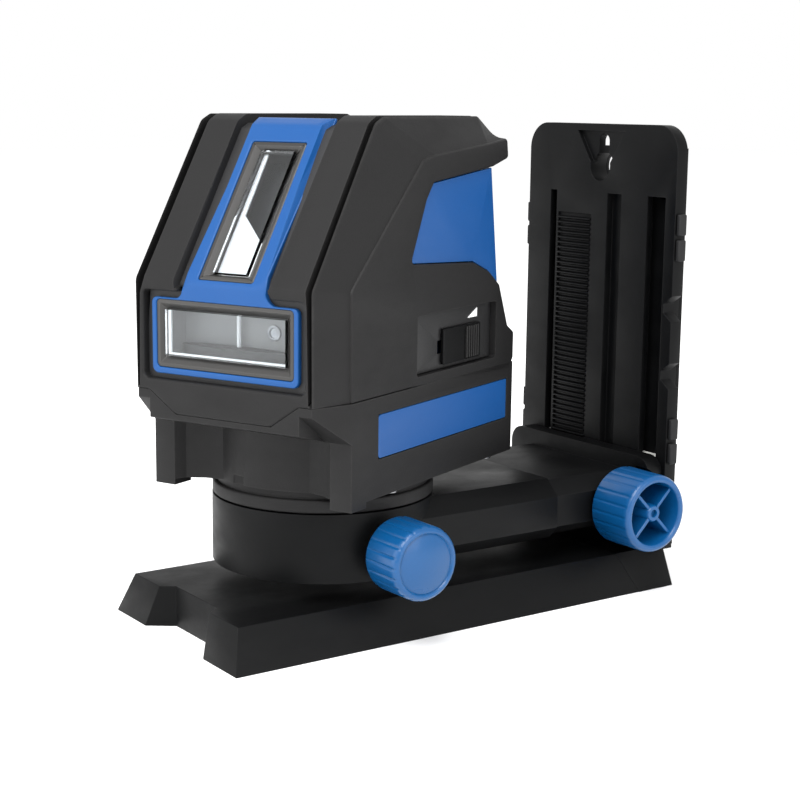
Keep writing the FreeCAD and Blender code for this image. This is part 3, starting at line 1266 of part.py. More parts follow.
BUILDERS = [
    foot_plate, foot_base_plate, foot_screws, tripod_insert, column_base, column, back_cover,
    back_magnets, cover_screws, column_bolts, side_pads, rack_strip, arm_housing, carriage_block, gear_cover,
    gear_cover_screws, block_screws, guide_shoes, shaft_bushes, spindle_bush, idler_pin, lift_knob,
    lift_shaft, lift_pinion, idler_gear, turn_knob, turn_shaft, turn_pinion, turntable_disc,
    crown_gear, turntable_spindle, spindle_clip, clamp_screw, lower_case, upper_case, rear_cover,
    side_panels, side_bands, window_strip, upper_window_frame, upper_window, lower_window_frame,
    lower_window, lock_slider, battery_door, door_pin, battery_tray, battery_cells,
    battery_contacts, head_insert, case_screws, inner_frame, gimbal_ring, pendulum_frame,
    pendulum_weight, laser_emitters, damping_magnet, circuit_board,
]

for build in BUILDERS:
    build()
for side_name in ("right", "left"):
    cheek(side_name)
doc.recompute()

failed = [thing.Name for thing in doc.Objects if {"Invalid", "Error"} & set(thing.State)]
if failed:
    raise SystemExit(f"these objects did not build: {failed}")
for part in NODES:
    if part.Shape.isNull() or not part.Shape.isValid() or not part.Shape.Solids:
        raise SystemExit(f"{part.Label} has no sound shape")

os.makedirs("parts", exist_ok=True)
for part in NODES:
    part.Shape.exportStep(f"parts/{part.Label}.step")
print(len(NODES), "sub-parts written")
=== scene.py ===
"""Visual model of a self-levelling line laser on its rack bracket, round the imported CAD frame.

Every length is in metres and in the CAD model's own frame: +X is the side of the two hand knobs,
+Y points to the column and +Z is up. The head's own directions are u (to its right) and v (from
its front face to its back); they are turned about the turntable's axis by the head's angle.
"""
import json
import logging
import math
from dataclasses import dataclass, field
from enum import Enum
from typing import Callable, Optional, Sequence

import bmesh
import bpy
import numpy as np
from mathutils import Matrix, Vector
from mathutils.geometry import delaunay_2d_cdt

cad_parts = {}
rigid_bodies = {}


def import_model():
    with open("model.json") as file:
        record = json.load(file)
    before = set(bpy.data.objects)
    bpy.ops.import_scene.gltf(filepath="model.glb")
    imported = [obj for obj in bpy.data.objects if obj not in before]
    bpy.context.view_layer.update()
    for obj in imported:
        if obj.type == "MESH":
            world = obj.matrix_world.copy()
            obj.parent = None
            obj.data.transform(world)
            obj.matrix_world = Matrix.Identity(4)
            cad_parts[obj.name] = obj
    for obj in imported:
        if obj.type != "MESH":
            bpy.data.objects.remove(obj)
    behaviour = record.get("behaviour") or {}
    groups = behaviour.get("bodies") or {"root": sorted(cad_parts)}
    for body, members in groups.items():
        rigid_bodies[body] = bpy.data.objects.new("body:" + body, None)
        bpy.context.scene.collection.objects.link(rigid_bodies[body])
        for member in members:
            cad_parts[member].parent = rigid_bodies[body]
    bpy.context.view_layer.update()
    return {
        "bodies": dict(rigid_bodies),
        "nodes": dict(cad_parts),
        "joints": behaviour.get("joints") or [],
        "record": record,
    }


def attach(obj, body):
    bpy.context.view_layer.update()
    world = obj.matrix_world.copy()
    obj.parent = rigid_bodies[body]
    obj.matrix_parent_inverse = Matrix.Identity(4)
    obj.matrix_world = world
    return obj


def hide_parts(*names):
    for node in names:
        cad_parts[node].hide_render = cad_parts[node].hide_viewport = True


log = logging.getLogger("line_laser")

Place = Callable[[np.ndarray], np.ndarray]
Spot = tuple[float, float]
Corner = tuple[float, float, float]

MM = 0.001
LEAST_RADIUS = 0.001
HEAD_TURN = math.radians(23.5)
HEAD_REACH = 46 * MM


class Finish(Enum):
    """The finishes that the object's pieces are given, by the record's slot names."""

    CHARCOAL_SHELL = "charcoal_shell"
    CHARCOAL_FRAME = "charcoal_frame"
    BLUE_SHELL = "blue_shell"
    BLUE_KNOB = "blue_knob"
    WINDOW_GLASS = "window_glass"
    STEEL = "steel"
    BRASS = "brass"
    WHITE_POLYMER = "white_polymer"
    RUBBER_PAD = "rubber_pad"
    COPPER = "copper"
    BOARD = "board"
    CELL_WRAP = "cell_wrap"


# ------------------------------------------------------------------ shader groups


@dataclass
class Web:
    """A node tree, with short ways to add nodes and to link them."""

    tree: bpy.types.NodeTree

    def add(self, kind: str, operation: Optional[str] = None, **values: object) -> bpy.types.Node:
        """Add a shader node.

        Args:
            kind: the node's type without its common prefix.
            operation: the node's operation, if it has one.
            values: values of input sockets by name, with _ for each space.

        Returns:
            The new node.
        """
        node = self.tree.nodes.new("ShaderNode" + kind)
        if operation:
            node.operation = operation
        for label, value in values.items():
            node.inputs[label.replace("_", " ")].default_value = value
        return node

    def link(self, *pairs: tuple[bpy.types.NodeSocket, bpy.types.NodeSocket]) -> None:
        """Link each pair's output to its input."""
        for start, end in pairs:
            self.tree.links.new(start, end)

    def group(self, tree: bpy.types.NodeTree, **values: float) -> bpy.types.Node:
        """Add a node that holds a shared group.

        Args:
            tree: the group.
            values: values of the group's inputs by name.

        Returns:
            The new node.
        """
        node = self.tree.nodes.new("ShaderNodeGroup")
        node.node_tree = tree
        for label, value in values.items():
            node.inputs[label].default_value = value
        return node


class Groups:
    """Shader node groups that several materials share; each is built once."""

    made: dict[str, bpy.types.NodeTree] = {}

    @classmethod
    def get(cls, name: str) -> bpy.types.NodeTree:
        """The group of a name, built when it is first asked for.

        Args:
            name: the group's name, which is also that of the method that builds it.

        Returns:
            The group.
        """
        if name not in cls.made:
            cls.made[name] = getattr(cls, name)()
        return cls.made[name]

    @staticmethod
    def start(name: str, inputs: dict[str, float],
              outputs: Sequence[str]) -> tuple[Web, dict, dict]:
        """A new group with float inputs and outputs.

        Args:
            name: the group's name.
            inputs: each input socket and its first value.
            outputs: the names of the output sockets.

        Returns:
            The group's tree, its input sockets to link from and its output sockets to link to.
        """
        tree = bpy.data.node_groups.new(name, "ShaderNodeTree")
        for label, value in inputs.items():
            socket = tree.interface.new_socket(label, in_out="INPUT", socket_type="NodeSocketFloat")
            socket.default_value = value
        for label in outputs:
            tree.interface.new_socket(label, in_out="OUTPUT", socket_type="NodeSocketFloat")
        given, wanted = tree.nodes.new("NodeGroupInput"), tree.nodes.new("NodeGroupOutput")
        return Web(tree), given.outputs, wanted.inputs

    @classmethod
    def moulded_grain(cls) -> bpy.types.NodeTree:
        """Moulded grain: fine noise mixed with coarser cells.

        Returns:
            The group, with a height for bumps and a value for the colour's drift.
        """
        web, given, wanted = cls.start("moulded_grain", {"Scale": 2500.0, "Coarse": 0.35},
                                       ("Height", "Value"))
        place = web.add("TexCoord").outputs["Object"]
        fine = web.add("TexNoise", Detail=2.0)
        cells = web.add("TexVoronoi")
        coarser = web.add("Math", "MULTIPLY")
        coarser.inputs[1].default_value = 0.55
        mix = web.add("Mix")
        web.link((place, fine.inputs["Vector"]), (place, cells.inputs["Vector"]),
                 (given["Scale"], fine.inputs["Scale"]), (given["Scale"], coarser.inputs[0]),
                 (coarser.outputs[0], cells.inputs["Scale"]),
                 (given["Coarse"], mix.inputs["Factor"]),
                 (fine.outputs["Fac"], mix.inputs[2]), (cells.outputs["Distance"], mix.inputs[3]),
                 (mix.outputs[0], wanted["Height"]), (fine.outputs["Fac"], wanted["Value"]))
        return web.tree

    @classmethod
    def edge_wear(cls) -> bpy.types.NodeTree:
        """Edge mask: how far the bevelled normal leaves the true one, broken up by noise.

        Returns:
            The group, whose mask is 1 on a worn edge and 0 on a face.
        """
        web, given, wanted = cls.start("edge_wear", {"Radius": 0.0008, "Break": 0.5}, ("Mask",))
        bevel = web.add("Bevel")
        bevel.samples = 4
        dot = web.add("VectorMath", "DOT_PRODUCT")
        spread = web.add("MapRange", From_Min=1.0, From_Max=0.86)
        noise = web.add("TexNoise", Scale=420.0, Detail=4.0)
        patch = web.add("MapRange", From_Min=0.42, From_Max=0.62)
        ease = web.add("Mix")
        ease.inputs[2].default_value = 1.0
        product = web.add("Math", "MULTIPLY")
        web.link((given["Radius"], bevel.inputs["Radius"]), (bevel.outputs[0], dot.inputs[0]),
                 (web.add("NewGeometry").outputs["Normal"], dot.inputs[1]),
                 (dot.outputs["Value"], spread.inputs["Value"]),
                 (web.add("TexCoord").outputs["Object"], noise.inputs["Vector"]),
                 (noise.outputs["Fac"], patch.inputs["Value"]), (given["Break"], ease.inputs["Factor"]),
                 (patch.outputs[0], ease.inputs[3]), (spread.outputs[0], product.inputs[0]),
                 (ease.outputs[0], product.inputs[1]), (product.outputs[0], wanted["Mask"]))
        return web.tree

    @classmethod
    def handling_marks(cls) -> bpy.types.NodeTree:
        """Broad handling marks: stretched noise at several sizes.

        Returns:
            The group, with a mask from 0 to 1.
        """
        web, given, wanted = cls.start("handling_marks", {"Scale": 45.0}, ("Mask",))
        squeeze = web.add("Mapping", Scale=(1.0, 0.7, 1.8))
        noise = web.add("TexNoise", Detail=5.0, Roughness=0.62)
        spread = web.add("MapRange", From_Min=0.35, From_Max=0.7)
        web.link((web.add("TexCoord").outputs["Object"], squeeze.inputs["Vector"]),
                 (squeeze.outputs[0], noise.inputs["Vector"]), (given["Scale"], noise.inputs["Scale"]),
                 (noise.outputs["Fac"], spread.inputs["Value"]), (spread.outputs[0], wanted["Mask"]))
        return web.tree


# ------------------------------------------------------------------ finishes


def new_material(name: str) -> tuple[bpy.types.Material, Web, dict]:
    """A new material.

    Args:
        name: the material's name.

    Returns:
        The material, its node tree and its shader's input sockets.
    """
    material = bpy.data.materials.new(name)
    material.use_nodes = True
    return material, Web(material.node_tree), material.node_tree.nodes["Principled BSDF"].inputs


@dataclass(frozen=True)
class Surface:
    """One finish: its colour, how it varies, its gloss and its relief.

    Attributes are plain numbers: grain is the count of grain cells in a metre, relief the
    height of the bump in metres, wear how far edges go towards worn.
    """

    colour: tuple[float, float, float]
    worn: tuple[float, float, float]
    roughness: float = 0.55
    roughness_spread: float = 0.12
    metallic: float = 0.0
    specular: float = 0.5
    coat: float = 0.0
    grain: float = 2500.0
    coarse: float = 0.35
    relief: float = 0.00004
    wear: float = 0.5
    variation: float = 0.12
    edge_radius: float = 0.0007

    def material(self, name: str) -> bpy.types.Material:
        """The finish as a material.

        Args:
            name: the material's name.

        Returns:
            A material whose colour, roughness and bump vary over the surface.
        """
        material, web, shader = new_material(name)
        shader["Metallic"].default_value = self.metallic
        shader["Specular IOR Level"].default_value = self.specular
        shader["Coat Weight"].default_value = self.coat
        shader["Coat Roughness"].default_value = 0.12
        grain = web.group(Groups.get("moulded_grain"), Scale=self.grain, Coarse=self.coarse)
        edge = web.group(Groups.get("edge_wear"), Radius=self.edge_radius)
        marks = web.group(Groups.get("handling_marks"))
        tone = web.add("MapRange", To_Min=1.0 - self.variation, To_Max=1.0 + self.variation)
        shade = web.add("VectorMath", "SCALE")
        shade.inputs[0].default_value = self.colour
        worn = web.add("Mix")
        worn.data_type = "RGBA"
        worn.inputs["B"].default_value = (*self.worn, 1.0)
        amount = web.add("Math", "MULTIPLY")
        amount.inputs[1].default_value = self.wear
        gloss = web.add("MapRange", To_Min=max(0.02, self.roughness - self.roughness_spread),
                        To_Max=min(1.0, self.roughness + self.roughness_spread))
        bump = web.add("Bump", Distance=self.relief)
        web.link((grain.outputs["Value"], tone.inputs["Value"]),
                 (tone.outputs[0], shade.inputs["Scale"]), (edge.outputs["Mask"], amount.inputs[0]),
                 (amount.outputs[0], worn.inputs["Factor"]), (shade.outputs[0], worn.inputs["A"]),
                 (worn.outputs["Result"], shader["Base Color"]),
                 (marks.outputs["Mask"], gloss.inputs["Value"]),
                 (gloss.outputs[0], shader["Roughness"]),
                 (grain.outputs["Height"], bump.inputs["Height"]),
                 (bump.outputs["Normal"], shader["Normal"]))
        return material


@dataclass(frozen=True)
class Glass:
    """Clear glass with a faint tint and a light film of dust."""

    tint: tuple[float, float, float] = (0.93, 0.97, 1.0)
    roughness: float = 0.02
    film: float = 0.04
    index: float = 1.45

    def material(self, name: str) -> bpy.types.Material:
        """The glass as a material.

        Args:
            name: the material's name.

        Returns:
            A material whose roughness varies with handling marks.
        """
        material, web, shader = new_material(name)
        shader["Base Color"].default_value = (*self.tint, 1.0)
        shader["Transmission Weight"].default_value = 1.0
        shader["IOR"].default_value = self.index
        marks = web.group(Groups.get("handling_marks"))
        spread = web.add("MapRange", To_Min=self.roughness, To_Max=self.roughness + self.film)
        web.link((marks.outputs["Mask"], spread.inputs["Value"]),
                 (spread.outputs[0], shader["Roughness"]))
        return material


SURFACES: dict[Finish, Surface | Glass] = {
    Finish.CHARCOAL_SHELL: Surface(
        (0.0085, 0.0083, 0.0085), (0.036, 0.035, 0.034), 0.58, 0.08, specular=0.2, grain=3600,
        coarse=0.5, relief=0.00003, wear=0.35),
    Finish.CHARCOAL_FRAME: Surface(
        (0.0019, 0.002, 0.0022), (0.01, 0.01, 0.011), 0.46, 0.1, specular=0.11, grain=3000,
        relief=0.00002, wear=0.35),
    Finish.BLUE_SHELL: Surface(
        (0.005, 0.058, 0.205), (0.02, 0.11, 0.3), 0.42, 0.08, specular=0.25, grain=3200,
        relief=0.000012, wear=0.3, variation=0.05),
    Finish.BLUE_KNOB: Surface(
        (0.001, 0.058, 0.18), (0.01, 0.13, 0.34), 0.34, 0.08, specular=0.35, coat=0.15, grain=1800,
        relief=0.00002, wear=0.4, variation=0.06),
    Finish.WINDOW_GLASS: Glass(),
    Finish.STEEL: Surface(
        (0.24, 0.245, 0.255), (0.42, 0.42, 0.42), 0.34, 0.1, metallic=1.0, grain=5000,
        relief=0.00001),
    Finish.BRASS: Surface(
        (0.42, 0.29, 0.11), (0.6, 0.46, 0.22), 0.3, 0.1, metallic=1.0, grain=5000, relief=0.00001),
    Finish.WHITE_POLYMER: Surface(
        (0.62, 0.62, 0.59), (0.8, 0.8, 0.78), 0.45, 0.08, relief=0.00001, variation=0.04),
    Finish.RUBBER_PAD: Surface(
        (0.006, 0.006, 0.0065), (0.025, 0.025, 0.025), 0.7, 0.08, specular=0.3, grain=2600,
        relief=0.00004),
    Finish.COPPER: Surface(
        (0.42, 0.18, 0.1), (0.6, 0.33, 0.22), 0.3, 0.1, metallic=1.0, grain=5000, relief=0.00001),
    Finish.BOARD: Surface(
        (0.01, 0.09, 0.03), (0.04, 0.2, 0.08), 0.35, 0.05, grain=1200, relief=0.00003),
    Finish.CELL_WRAP: Surface(
        (0.45, 0.45, 0.47), (0.6, 0.6, 0.6), 0.3, 0.06, metallic=0.3, relief=0.00001,
        variation=0.03),
}


@dataclass
class Palette:
    """The materials, made once and handed out by finish."""

    made: dict[str, bpy.types.Material] = field(default_factory=dict)

    def __call__(self, finish: Finish) -> bpy.types.Material:
        """The material of a finish.

        Args:
            finish: one of the record's finishes.

        Returns:
            The shared material, made when it is first asked for.
        """
        if finish.value not in self.made:
            self.made[finish.value] = SURFACES[finish].material(finish.value)
        return self.made[finish.value]

    def own(self, name: str, surface: Surface | Glass) -> bpy.types.Material:
        """A material for a finish that the record doesn't name.

        Args:
            name: the material's name.
            surface: how it looks.

        Returns:
            The shared material, made when it is first asked for.
        """
        if name not in self.made:
            self.made[name] = surface.material(name)
        return self.made[name]


# ------------------------------------------------------------------ shapes


def mesh_object(name: str, points: np.ndarray, faces: Sequence[Sequence[int]]) -> bpy.types.Object:
    """An object at the origin, linked to the scene.

    Args:
        name: the object's name.
        points: its corners in metres.
        faces: its faces as indices of corners.

    Returns:
        The new object.
    """
    mesh = bpy.data.meshes.new(name)
    cloud = np.asarray(points, float).reshape(-1, 3)
    mesh.from_pydata(cloud.tolist(), [], [list(f) for f in faces])
    mesh.update()
    piece = bpy.data.objects.new(name, mesh)
    bpy.context.scene.collection.objects.link(piece)
    return piece


def bands(rows: int, count: int, closed: bool = False) -> list[list[int]]:
    """Quads between rings of count points each, numbered ring by ring.

    Args:
        rows: how many rings there are.
        count: the number of points in a ring.
        closed: whether the last ring also joins the first.

    Returns:
        The quads as lists of four indices.
    """
    i, j = np.meshgrid(np.arange(rows if closed else rows - 1), np.arange(count), indexing="ij")
    k, n = (j + 1) % count, (i + 1) % rows
    quads = np.stack([i * count + j, i * count + k, n * count + k, n * count + j], -1)
    return quads.reshape(-1, 4).tolist()


def smooth(piece: bpy.types.Object, angle: float = 32.0) -> bpy.types.Object:
    """Shade a piece smoothly.

    Args:
        piece: the piece, which is changed.
        angle: edges where faces meet at more than this many degrees stay sharp.

    Returns:
        The same piece.
    """
    piece.data.polygons.foreach_set("use_smooth", [True] * len(piece.data.polygons))
    piece.data.set_sharp_from_angle(angle=math.radians(angle))
    return piece


def outwards(piece: bpy.types.Object) -> bpy.types.Object:
    """Merge doubled points and turn every face of a closed shape outwards.

    Args:
        piece: the object, which is changed.

    Returns:
        The same object.
    """
    work = bmesh.new()
    work.from_mesh(piece.data)
    bmesh.ops.remove_doubles(work, verts=work.verts, dist=1e-7)
    bmesh.ops.recalc_face_normals(work, faces=work.faces)
    work.to_mesh(piece.data)
    work.free()
    return piece


def softened(node: bpy.types.Object, radius: float, name: Optional[str] = None, steps: int = 3,
             sharp: float = 24.0) -> bpy.types.Object:
    """A copy of a CAD part with its doubled points merged and its edges rounded.

    Args:
        node: the CAD part.
        radius: the round's size in metres.
        name: the new piece's name.
        steps: how many faces make the round.
        sharp: the least angle, in degrees, of an edge that is rounded.

    Returns:
        The new piece, at the origin.
    """
    piece = bpy.data.objects.new(name or node.name + "_body", node.data.copy())
    bpy.context.scene.collection.objects.link(piece)
    work = bmesh.new()
    work.from_mesh(piece.data)
    bmesh.ops.remove_doubles(work, verts=work.verts, dist=2e-6)
    bmesh.ops.dissolve_limit(work, angle_limit=math.radians(0.6), verts=work.verts,
                             edges=work.edges)
    limit = math.radians(sharp)
    edges = [e for e in work.edges if len(e.link_faces) == 2 and e.calc_face_angle(0) > limit]
    bmesh.ops.bevel(work, geom=edges, offset=radius, offset_type="OFFSET", segments=steps,
                    profile=0.5, affect="EDGES", clamp_overlap=True)
    bmesh.ops.remove_doubles(work, verts=work.verts, dist=1e-6)
    bmesh.ops.triangulate(work, faces=[f for f in work.faces if len(f.verts) > 4])
    work.to_mesh(piece.data)
    work.free()
    smooth(piece, 28.0)
    return piece


def turned(points: np.ndarray) -> np.ndarray:
    """Points of the head, turned about the turntable's axis into the CAD frame.

    Args:
        points: (u, v, height) in metres.

    Returns:
        (x, y, z) in metres: x = u cos a - w sin a and y = u sin a + w cos a, where a is the head's
        angle and w is v less the head's reach.
    """
    points = np.asarray(points, float)
    u, v, z = points[..., 0], points[..., 1] - HEAD_REACH, points[..., 2]
    c, s = math.cos(HEAD_TURN), math.sin(HEAD_TURN)
    return np.stack([u * c - v * s, u * s + v * c, z], axis=-1)


def lathe(name: str, profile: Sequence[tuple[float, float]], place: Place,
          turns: int = 96, lobes: int = 0, depth: float = 0.0,
          fluted: Sequence[bool] = ()) -> bpy.types.Object:
    """A profile of (along, radius) turned about its own axis, closed at both ends.

    A point is (along, r cos t, r sin t); where fluted, r is made smaller by
    depth times a rounded wave of the given number of lobes.

    Args:
        name: the piece's name.
        profile: points from one end's middle to the other's, with radius 0 at both ends.
        place: maps points (along, across, up) to the CAD frame.
        turns: the number of columns round the axis.
        lobes: how many flutes run round.
        depth: how deep a flute is.
        fluted: for each profile point, whether it is fluted.

    Returns:
        The closed piece.
    """
    along, radius = np.array(profile, float).T
    angle = np.linspace(0, 2 * math.pi, turns, endpoint=False)
    wave = depth * np.clip(np.cos(lobes * angle) * 2.6 - 1.6, 0, 1) if lobes else np.zeros(turns)
    mask = np.array(fluted, float) if len(fluted) else np.zeros(len(along))
    inner = slice(1, -1)
    r = radius[inner, None] - mask[inner, None] * wave[None, :]
    across, up = r * np.cos(angle), r * np.sin(angle)
    ring = np.stack([np.broadcast_to(along[inner, None], r.shape), across, up], -1)
    rows = r.shape[0]
    points = np.vstack([ring.reshape(-1, 3), [[along[0], 0, 0]], [[along[-1], 0, 0]]])
    faces = bands(rows, turns)
    for middle, start in ((rows * turns, 0), (rows * turns + 1, (rows - 1) * turns)):
        faces += [[middle, start + n, start + (n + 1) % turns] for n in range(turns)]
    return outwards(mesh_object(name, place(points), faces))


# ------------------------------------------------------------------ plates and paths


def arcs(corner: np.ndarray, before: np.ndarray, after: np.ndarray, radius: np.ndarray,
         steps: int) -> np.ndarray:
    """The arcs that round a row of corners.

    A corner of radius r is left at r / tan(half) along both sides, where half is half the angle
    between them, and the arc is drawn about its centre, r / sin(half) away, in equal steps.

    Args:
        corner: the corners.
        before: the way from each corner to the one before it.
        after: the way from each corner to the one after it.
        radius: each corner's radius.
        steps: how many chords make an arc.

    Returns:
        All arcs' points in order, steps + 1 to a corner.
    """
    before = before / np.linalg.norm(before, axis=1, keepdims=True)
    after = after / np.linalg.norm(after, axis=1, keepdims=True)
    half = np.arccos(np.clip((before * after).sum(1), -1, 1)) / 2
    middle = before + after
    middle /= np.maximum(np.linalg.norm(middle, axis=1, keepdims=True), 1e-12)
    centre = corner + middle * (radius / np.sin(half))[:, None]
    first = corner + before * (radius / np.tan(half))[:, None] - centre
    last = corner + after * (radius / np.tan(half))[:, None] - centre
    turn = np.arctan2(first[:, 0] * last[:, 1] - first[:, 1] * last[:, 0], (first * last).sum(1))
    angle = turn[:, None] * np.linspace(0, 1, steps + 1)[None, :]
    c, s = np.cos(angle), np.sin(angle)
    x = centre[:, :1] + first[:, :1] * c - first[:, 1:] * s
    y = centre[:, 1:] + first[:, :1] * s + first[:, 1:] * c
    return np.stack([x, y], -1).reshape(-1, 2)


def arc_corners(points: Sequence[tuple[float, ...]], steps: int = 8,
                size: float = 0.0) -> np.ndarray:
    """A closed outline whose corners are rounded by arcs.

    Two outlines with as many corners match point by point.

    Args:
        points: corners as (a, b) or (a, b, radius), counter-clockwise, in millimetres.
        steps: how many chords make each arc.
        size: the radius of a corner that names none.

    Returns:
        An array of (a, b) in millimetres.
    """
    corner = np.array([(p[0], p[1]) for p in points], float)
    radius = np.array([p[2] if len(p) > 2 else size for p in points], float) + LEAST_RADIUS
    return arcs(corner, np.roll(corner, 1, 0) - corner, np.roll(corner, -1, 0) - corner, radius, steps)


def inset(loop: np.ndarray, distance: float) -> np.ndarray:
    """A closed counter-clockwise outline moved inwards by a distance.

    Each point moves along the mean of its two sides' normals, lengthened so that both sides
    move by the distance.

    Args:
        loop: the outline.
        distance: how far it moves, or outwards if negative.

    Returns:
        The outline's new points.
    """
    ahead = np.roll(loop, -1, 0) - loop
    ahead /= np.maximum(np.linalg.norm(ahead, axis=1, keepdims=True), 1e-9)
    normal = np.stack([-ahead[:, 1], ahead[:, 0]], -1)
    mean = normal + np.roll(normal, 1, 0)
    length = np.maximum((mean * mean).sum(1, keepdims=True), 0.4)
    return loop + mean * (2 * distance / length)


def inside(points: np.ndarray, loop: np.ndarray) -> np.ndarray:
    """Which points lie in a closed outline, by counting the sides that a ray to the right meets.

    Args:
        points: the points to test.
        loop: the outline.

    Returns:
        True for each point inside.
    """
    a, b = loop, np.roll(loop, -1, 0)
    px, py = points[:, 0, None], points[:, 1, None]
    spans = (a[None, :, 1] > py) != (b[None, :, 1] > py)
    rise = np.where(b[:, 1] == a[:, 1], 1e-12, b[:, 1] - a[:, 1])
    cross = a[None, :, 0] + (py - a[None, :, 1]) * (b[:, 0] - a[:, 0])[None, :] / rise[None, :]
    return ((spans & (px < cross)).sum(1) % 2) == 1


def triangles(loops: Sequence[np.ndarray], extra: np.ndarray) -> tuple[np.ndarray, np.ndarray]:
    """Triangles between an outline and its holes, through extra points.

    Args:
        loops: the outline, then its holes.
        extra: more points, of which those inside are used.

    Returns:
        The points, the loops' own first and in order, and the triangles as indices.
    """
    rim = np.vstack(loops)
    starts = np.cumsum([0] + [len(loop) for loop in loops])
    edges = [(int(s) + i, int(s) + (i + 1) % len(loop)) for s, loop in zip(starts, loops)
             for i in range(len(loop))]
    if len(extra):
        keep = inside(extra, inset(loops[0], 0.15))
        for hole in loops[1:]:
            keep &= ~inside(extra, hole + (hole - hole.mean(0)) * 0.01)
        rim = np.vstack([rim, extra[keep]])
    found = delaunay_2d_cdt([Vector(p) for p in rim.tolist()], edges, [], 0, 1e-6)
    points = np.array([tuple(p) for p in found[0]])
    faces = np.array([tuple(f) for f in found[2]])
    middle = points[faces].mean(1)
    keep = inside(middle, loops[0])
    for hole in loops[1:]:
        keep &= ~inside(middle, hole)
    faces = faces[keep]
    a, b, c = (points[faces[:, k]] for k in range(3))
    turned_over = ((b - a)[:, 0] * (c - a)[:, 1] - (b - a)[:, 1] * (c - a)[:, 0]) < 0
    faces[turned_over] = faces[turned_over][:, ::-1]
    return points, faces


def close_row(rows: list[np.ndarray], row: int, loops: Sequence[np.ndarray],
              extra: np.ndarray) -> np.ndarray:
    """Close one row of a shape with triangles.

    Args:
        rows: the shape's points (a, b, depth) row by row, to which new points are appended.
        row: the row to close; those before it have as many points.
        loops: its outline and holes, of which its own points come first and in order.
        extra: more points that the triangles may use.

    Returns:
        The triangles as indices of the shape's points.
    """
    total = len(rows[row])
    found, faces = triangles(loops, extra)
    more = found[total:]
    offset = sum(len(block) for block in rows)
    index = np.concatenate([row * total + np.arange(total), offset + np.arange(len(more))])
    rows.append(np.column_stack([more, np.full(len(more), rows[row][0, 2])]))
    return index[faces]


def plate(name: str, outline: np.ndarray, thick: float, place: Place,
          holes: Sequence[np.ndarray] = (), edge: float = 0.4, back_edge: float = 0.05, steps: int = 4,
          grid: float = 0.0, top: Optional[Place] = None) -> bpy.types.Object:
    """A flat or bent plate with rounded edges, closed all round.

    The rim is the outline carried along a quarter circle, a straight wall and a second quarter
    circle: at angle t of a round of radius r the outline is inset by r (1 - sin t) at the depth
    r (1 - cos t). Both faces are triangles between the inset outlines.

    Args:
        name: the piece's name.
        outline: the counter-clockwise outline, in millimetres.
        thick: the thickness in millimetres.
        place: maps points (a, b, depth) in millimetres to the CAD frame in metres.
        holes: outlines of openings, counter-clockwise too.
        edge: the front edges' radius.
        back_edge: the back edges' radius.
        steps: chords in each round.
        grid: spacing of extra points, for a plate that is bent.
        top: maps points (a, b) of the front face to an extra depth.

    Returns:
        The closed piece.
    """
    t = np.linspace(0, math.pi / 2, steps + 1)
    rows = list(zip(edge * (1 - np.sin(t)), edge * (1 - np.cos(t))))
    if back_edge > 0:
        back = np.linspace(0, math.pi / 2, max(steps // 2, 1) + 1)
        rows += list(zip(back_edge * (1 - np.cos(back)), thick - back_edge * (1 - np.sin(back))))
    else:
        rows.append((0.0, thick))
    loops = [outline] + [hole[::-1] for hole in holes]
    extra = np.zeros((0, 2))
    if grid:
        low, high = outline.min(0), outline.max(0)
        a = np.arange(low[0] + grid * 2, high[0], grid * 2)
        b = np.arange(low[1] + grid * 0.5, high[1], grid)
        extra = np.stack(np.meshgrid(a, b), -1).reshape(-1, 2)
    points, faces = [], []
    ring = [sum(len(loop) for loop in loops[:k]) for k in range(len(loops))]
    total = sum(len(loop) for loop in loops)
    for distance, depth in rows:
        moved = np.vstack([inset(loop, distance) for loop in loops])
        points.append(np.column_stack([moved, np.full(total, depth)]))
    for level in range(len(rows) - 1):
        for start, loop in zip(ring, loops):
            i = np.arange(len(loop))
            j = (i + 1) % len(loop)
            low, high = level * total + start, (level + 1) * total + start
            faces += np.stack([low + j, low + i, high + i, high + j], -1).tolist()
    for row, flip in ((0, False), (len(rows) - 1, True)):
        flat = [points[row][s:s + len(loop), :2] for s, loop in zip(ring, loops)]
        found = close_row(points, row, flat, extra)
        faces += (found[:, ::-1] if flip else found).tolist()
    cloud = np.vstack(points)
    if top is not None:
        cloud[:, 2] += top(cloud[:, :2]) * (1 - cloud[:, 2] / thick)
    piece = outwards(mesh_object(name, place(cloud), faces))
    return smooth(piece, 40.0)


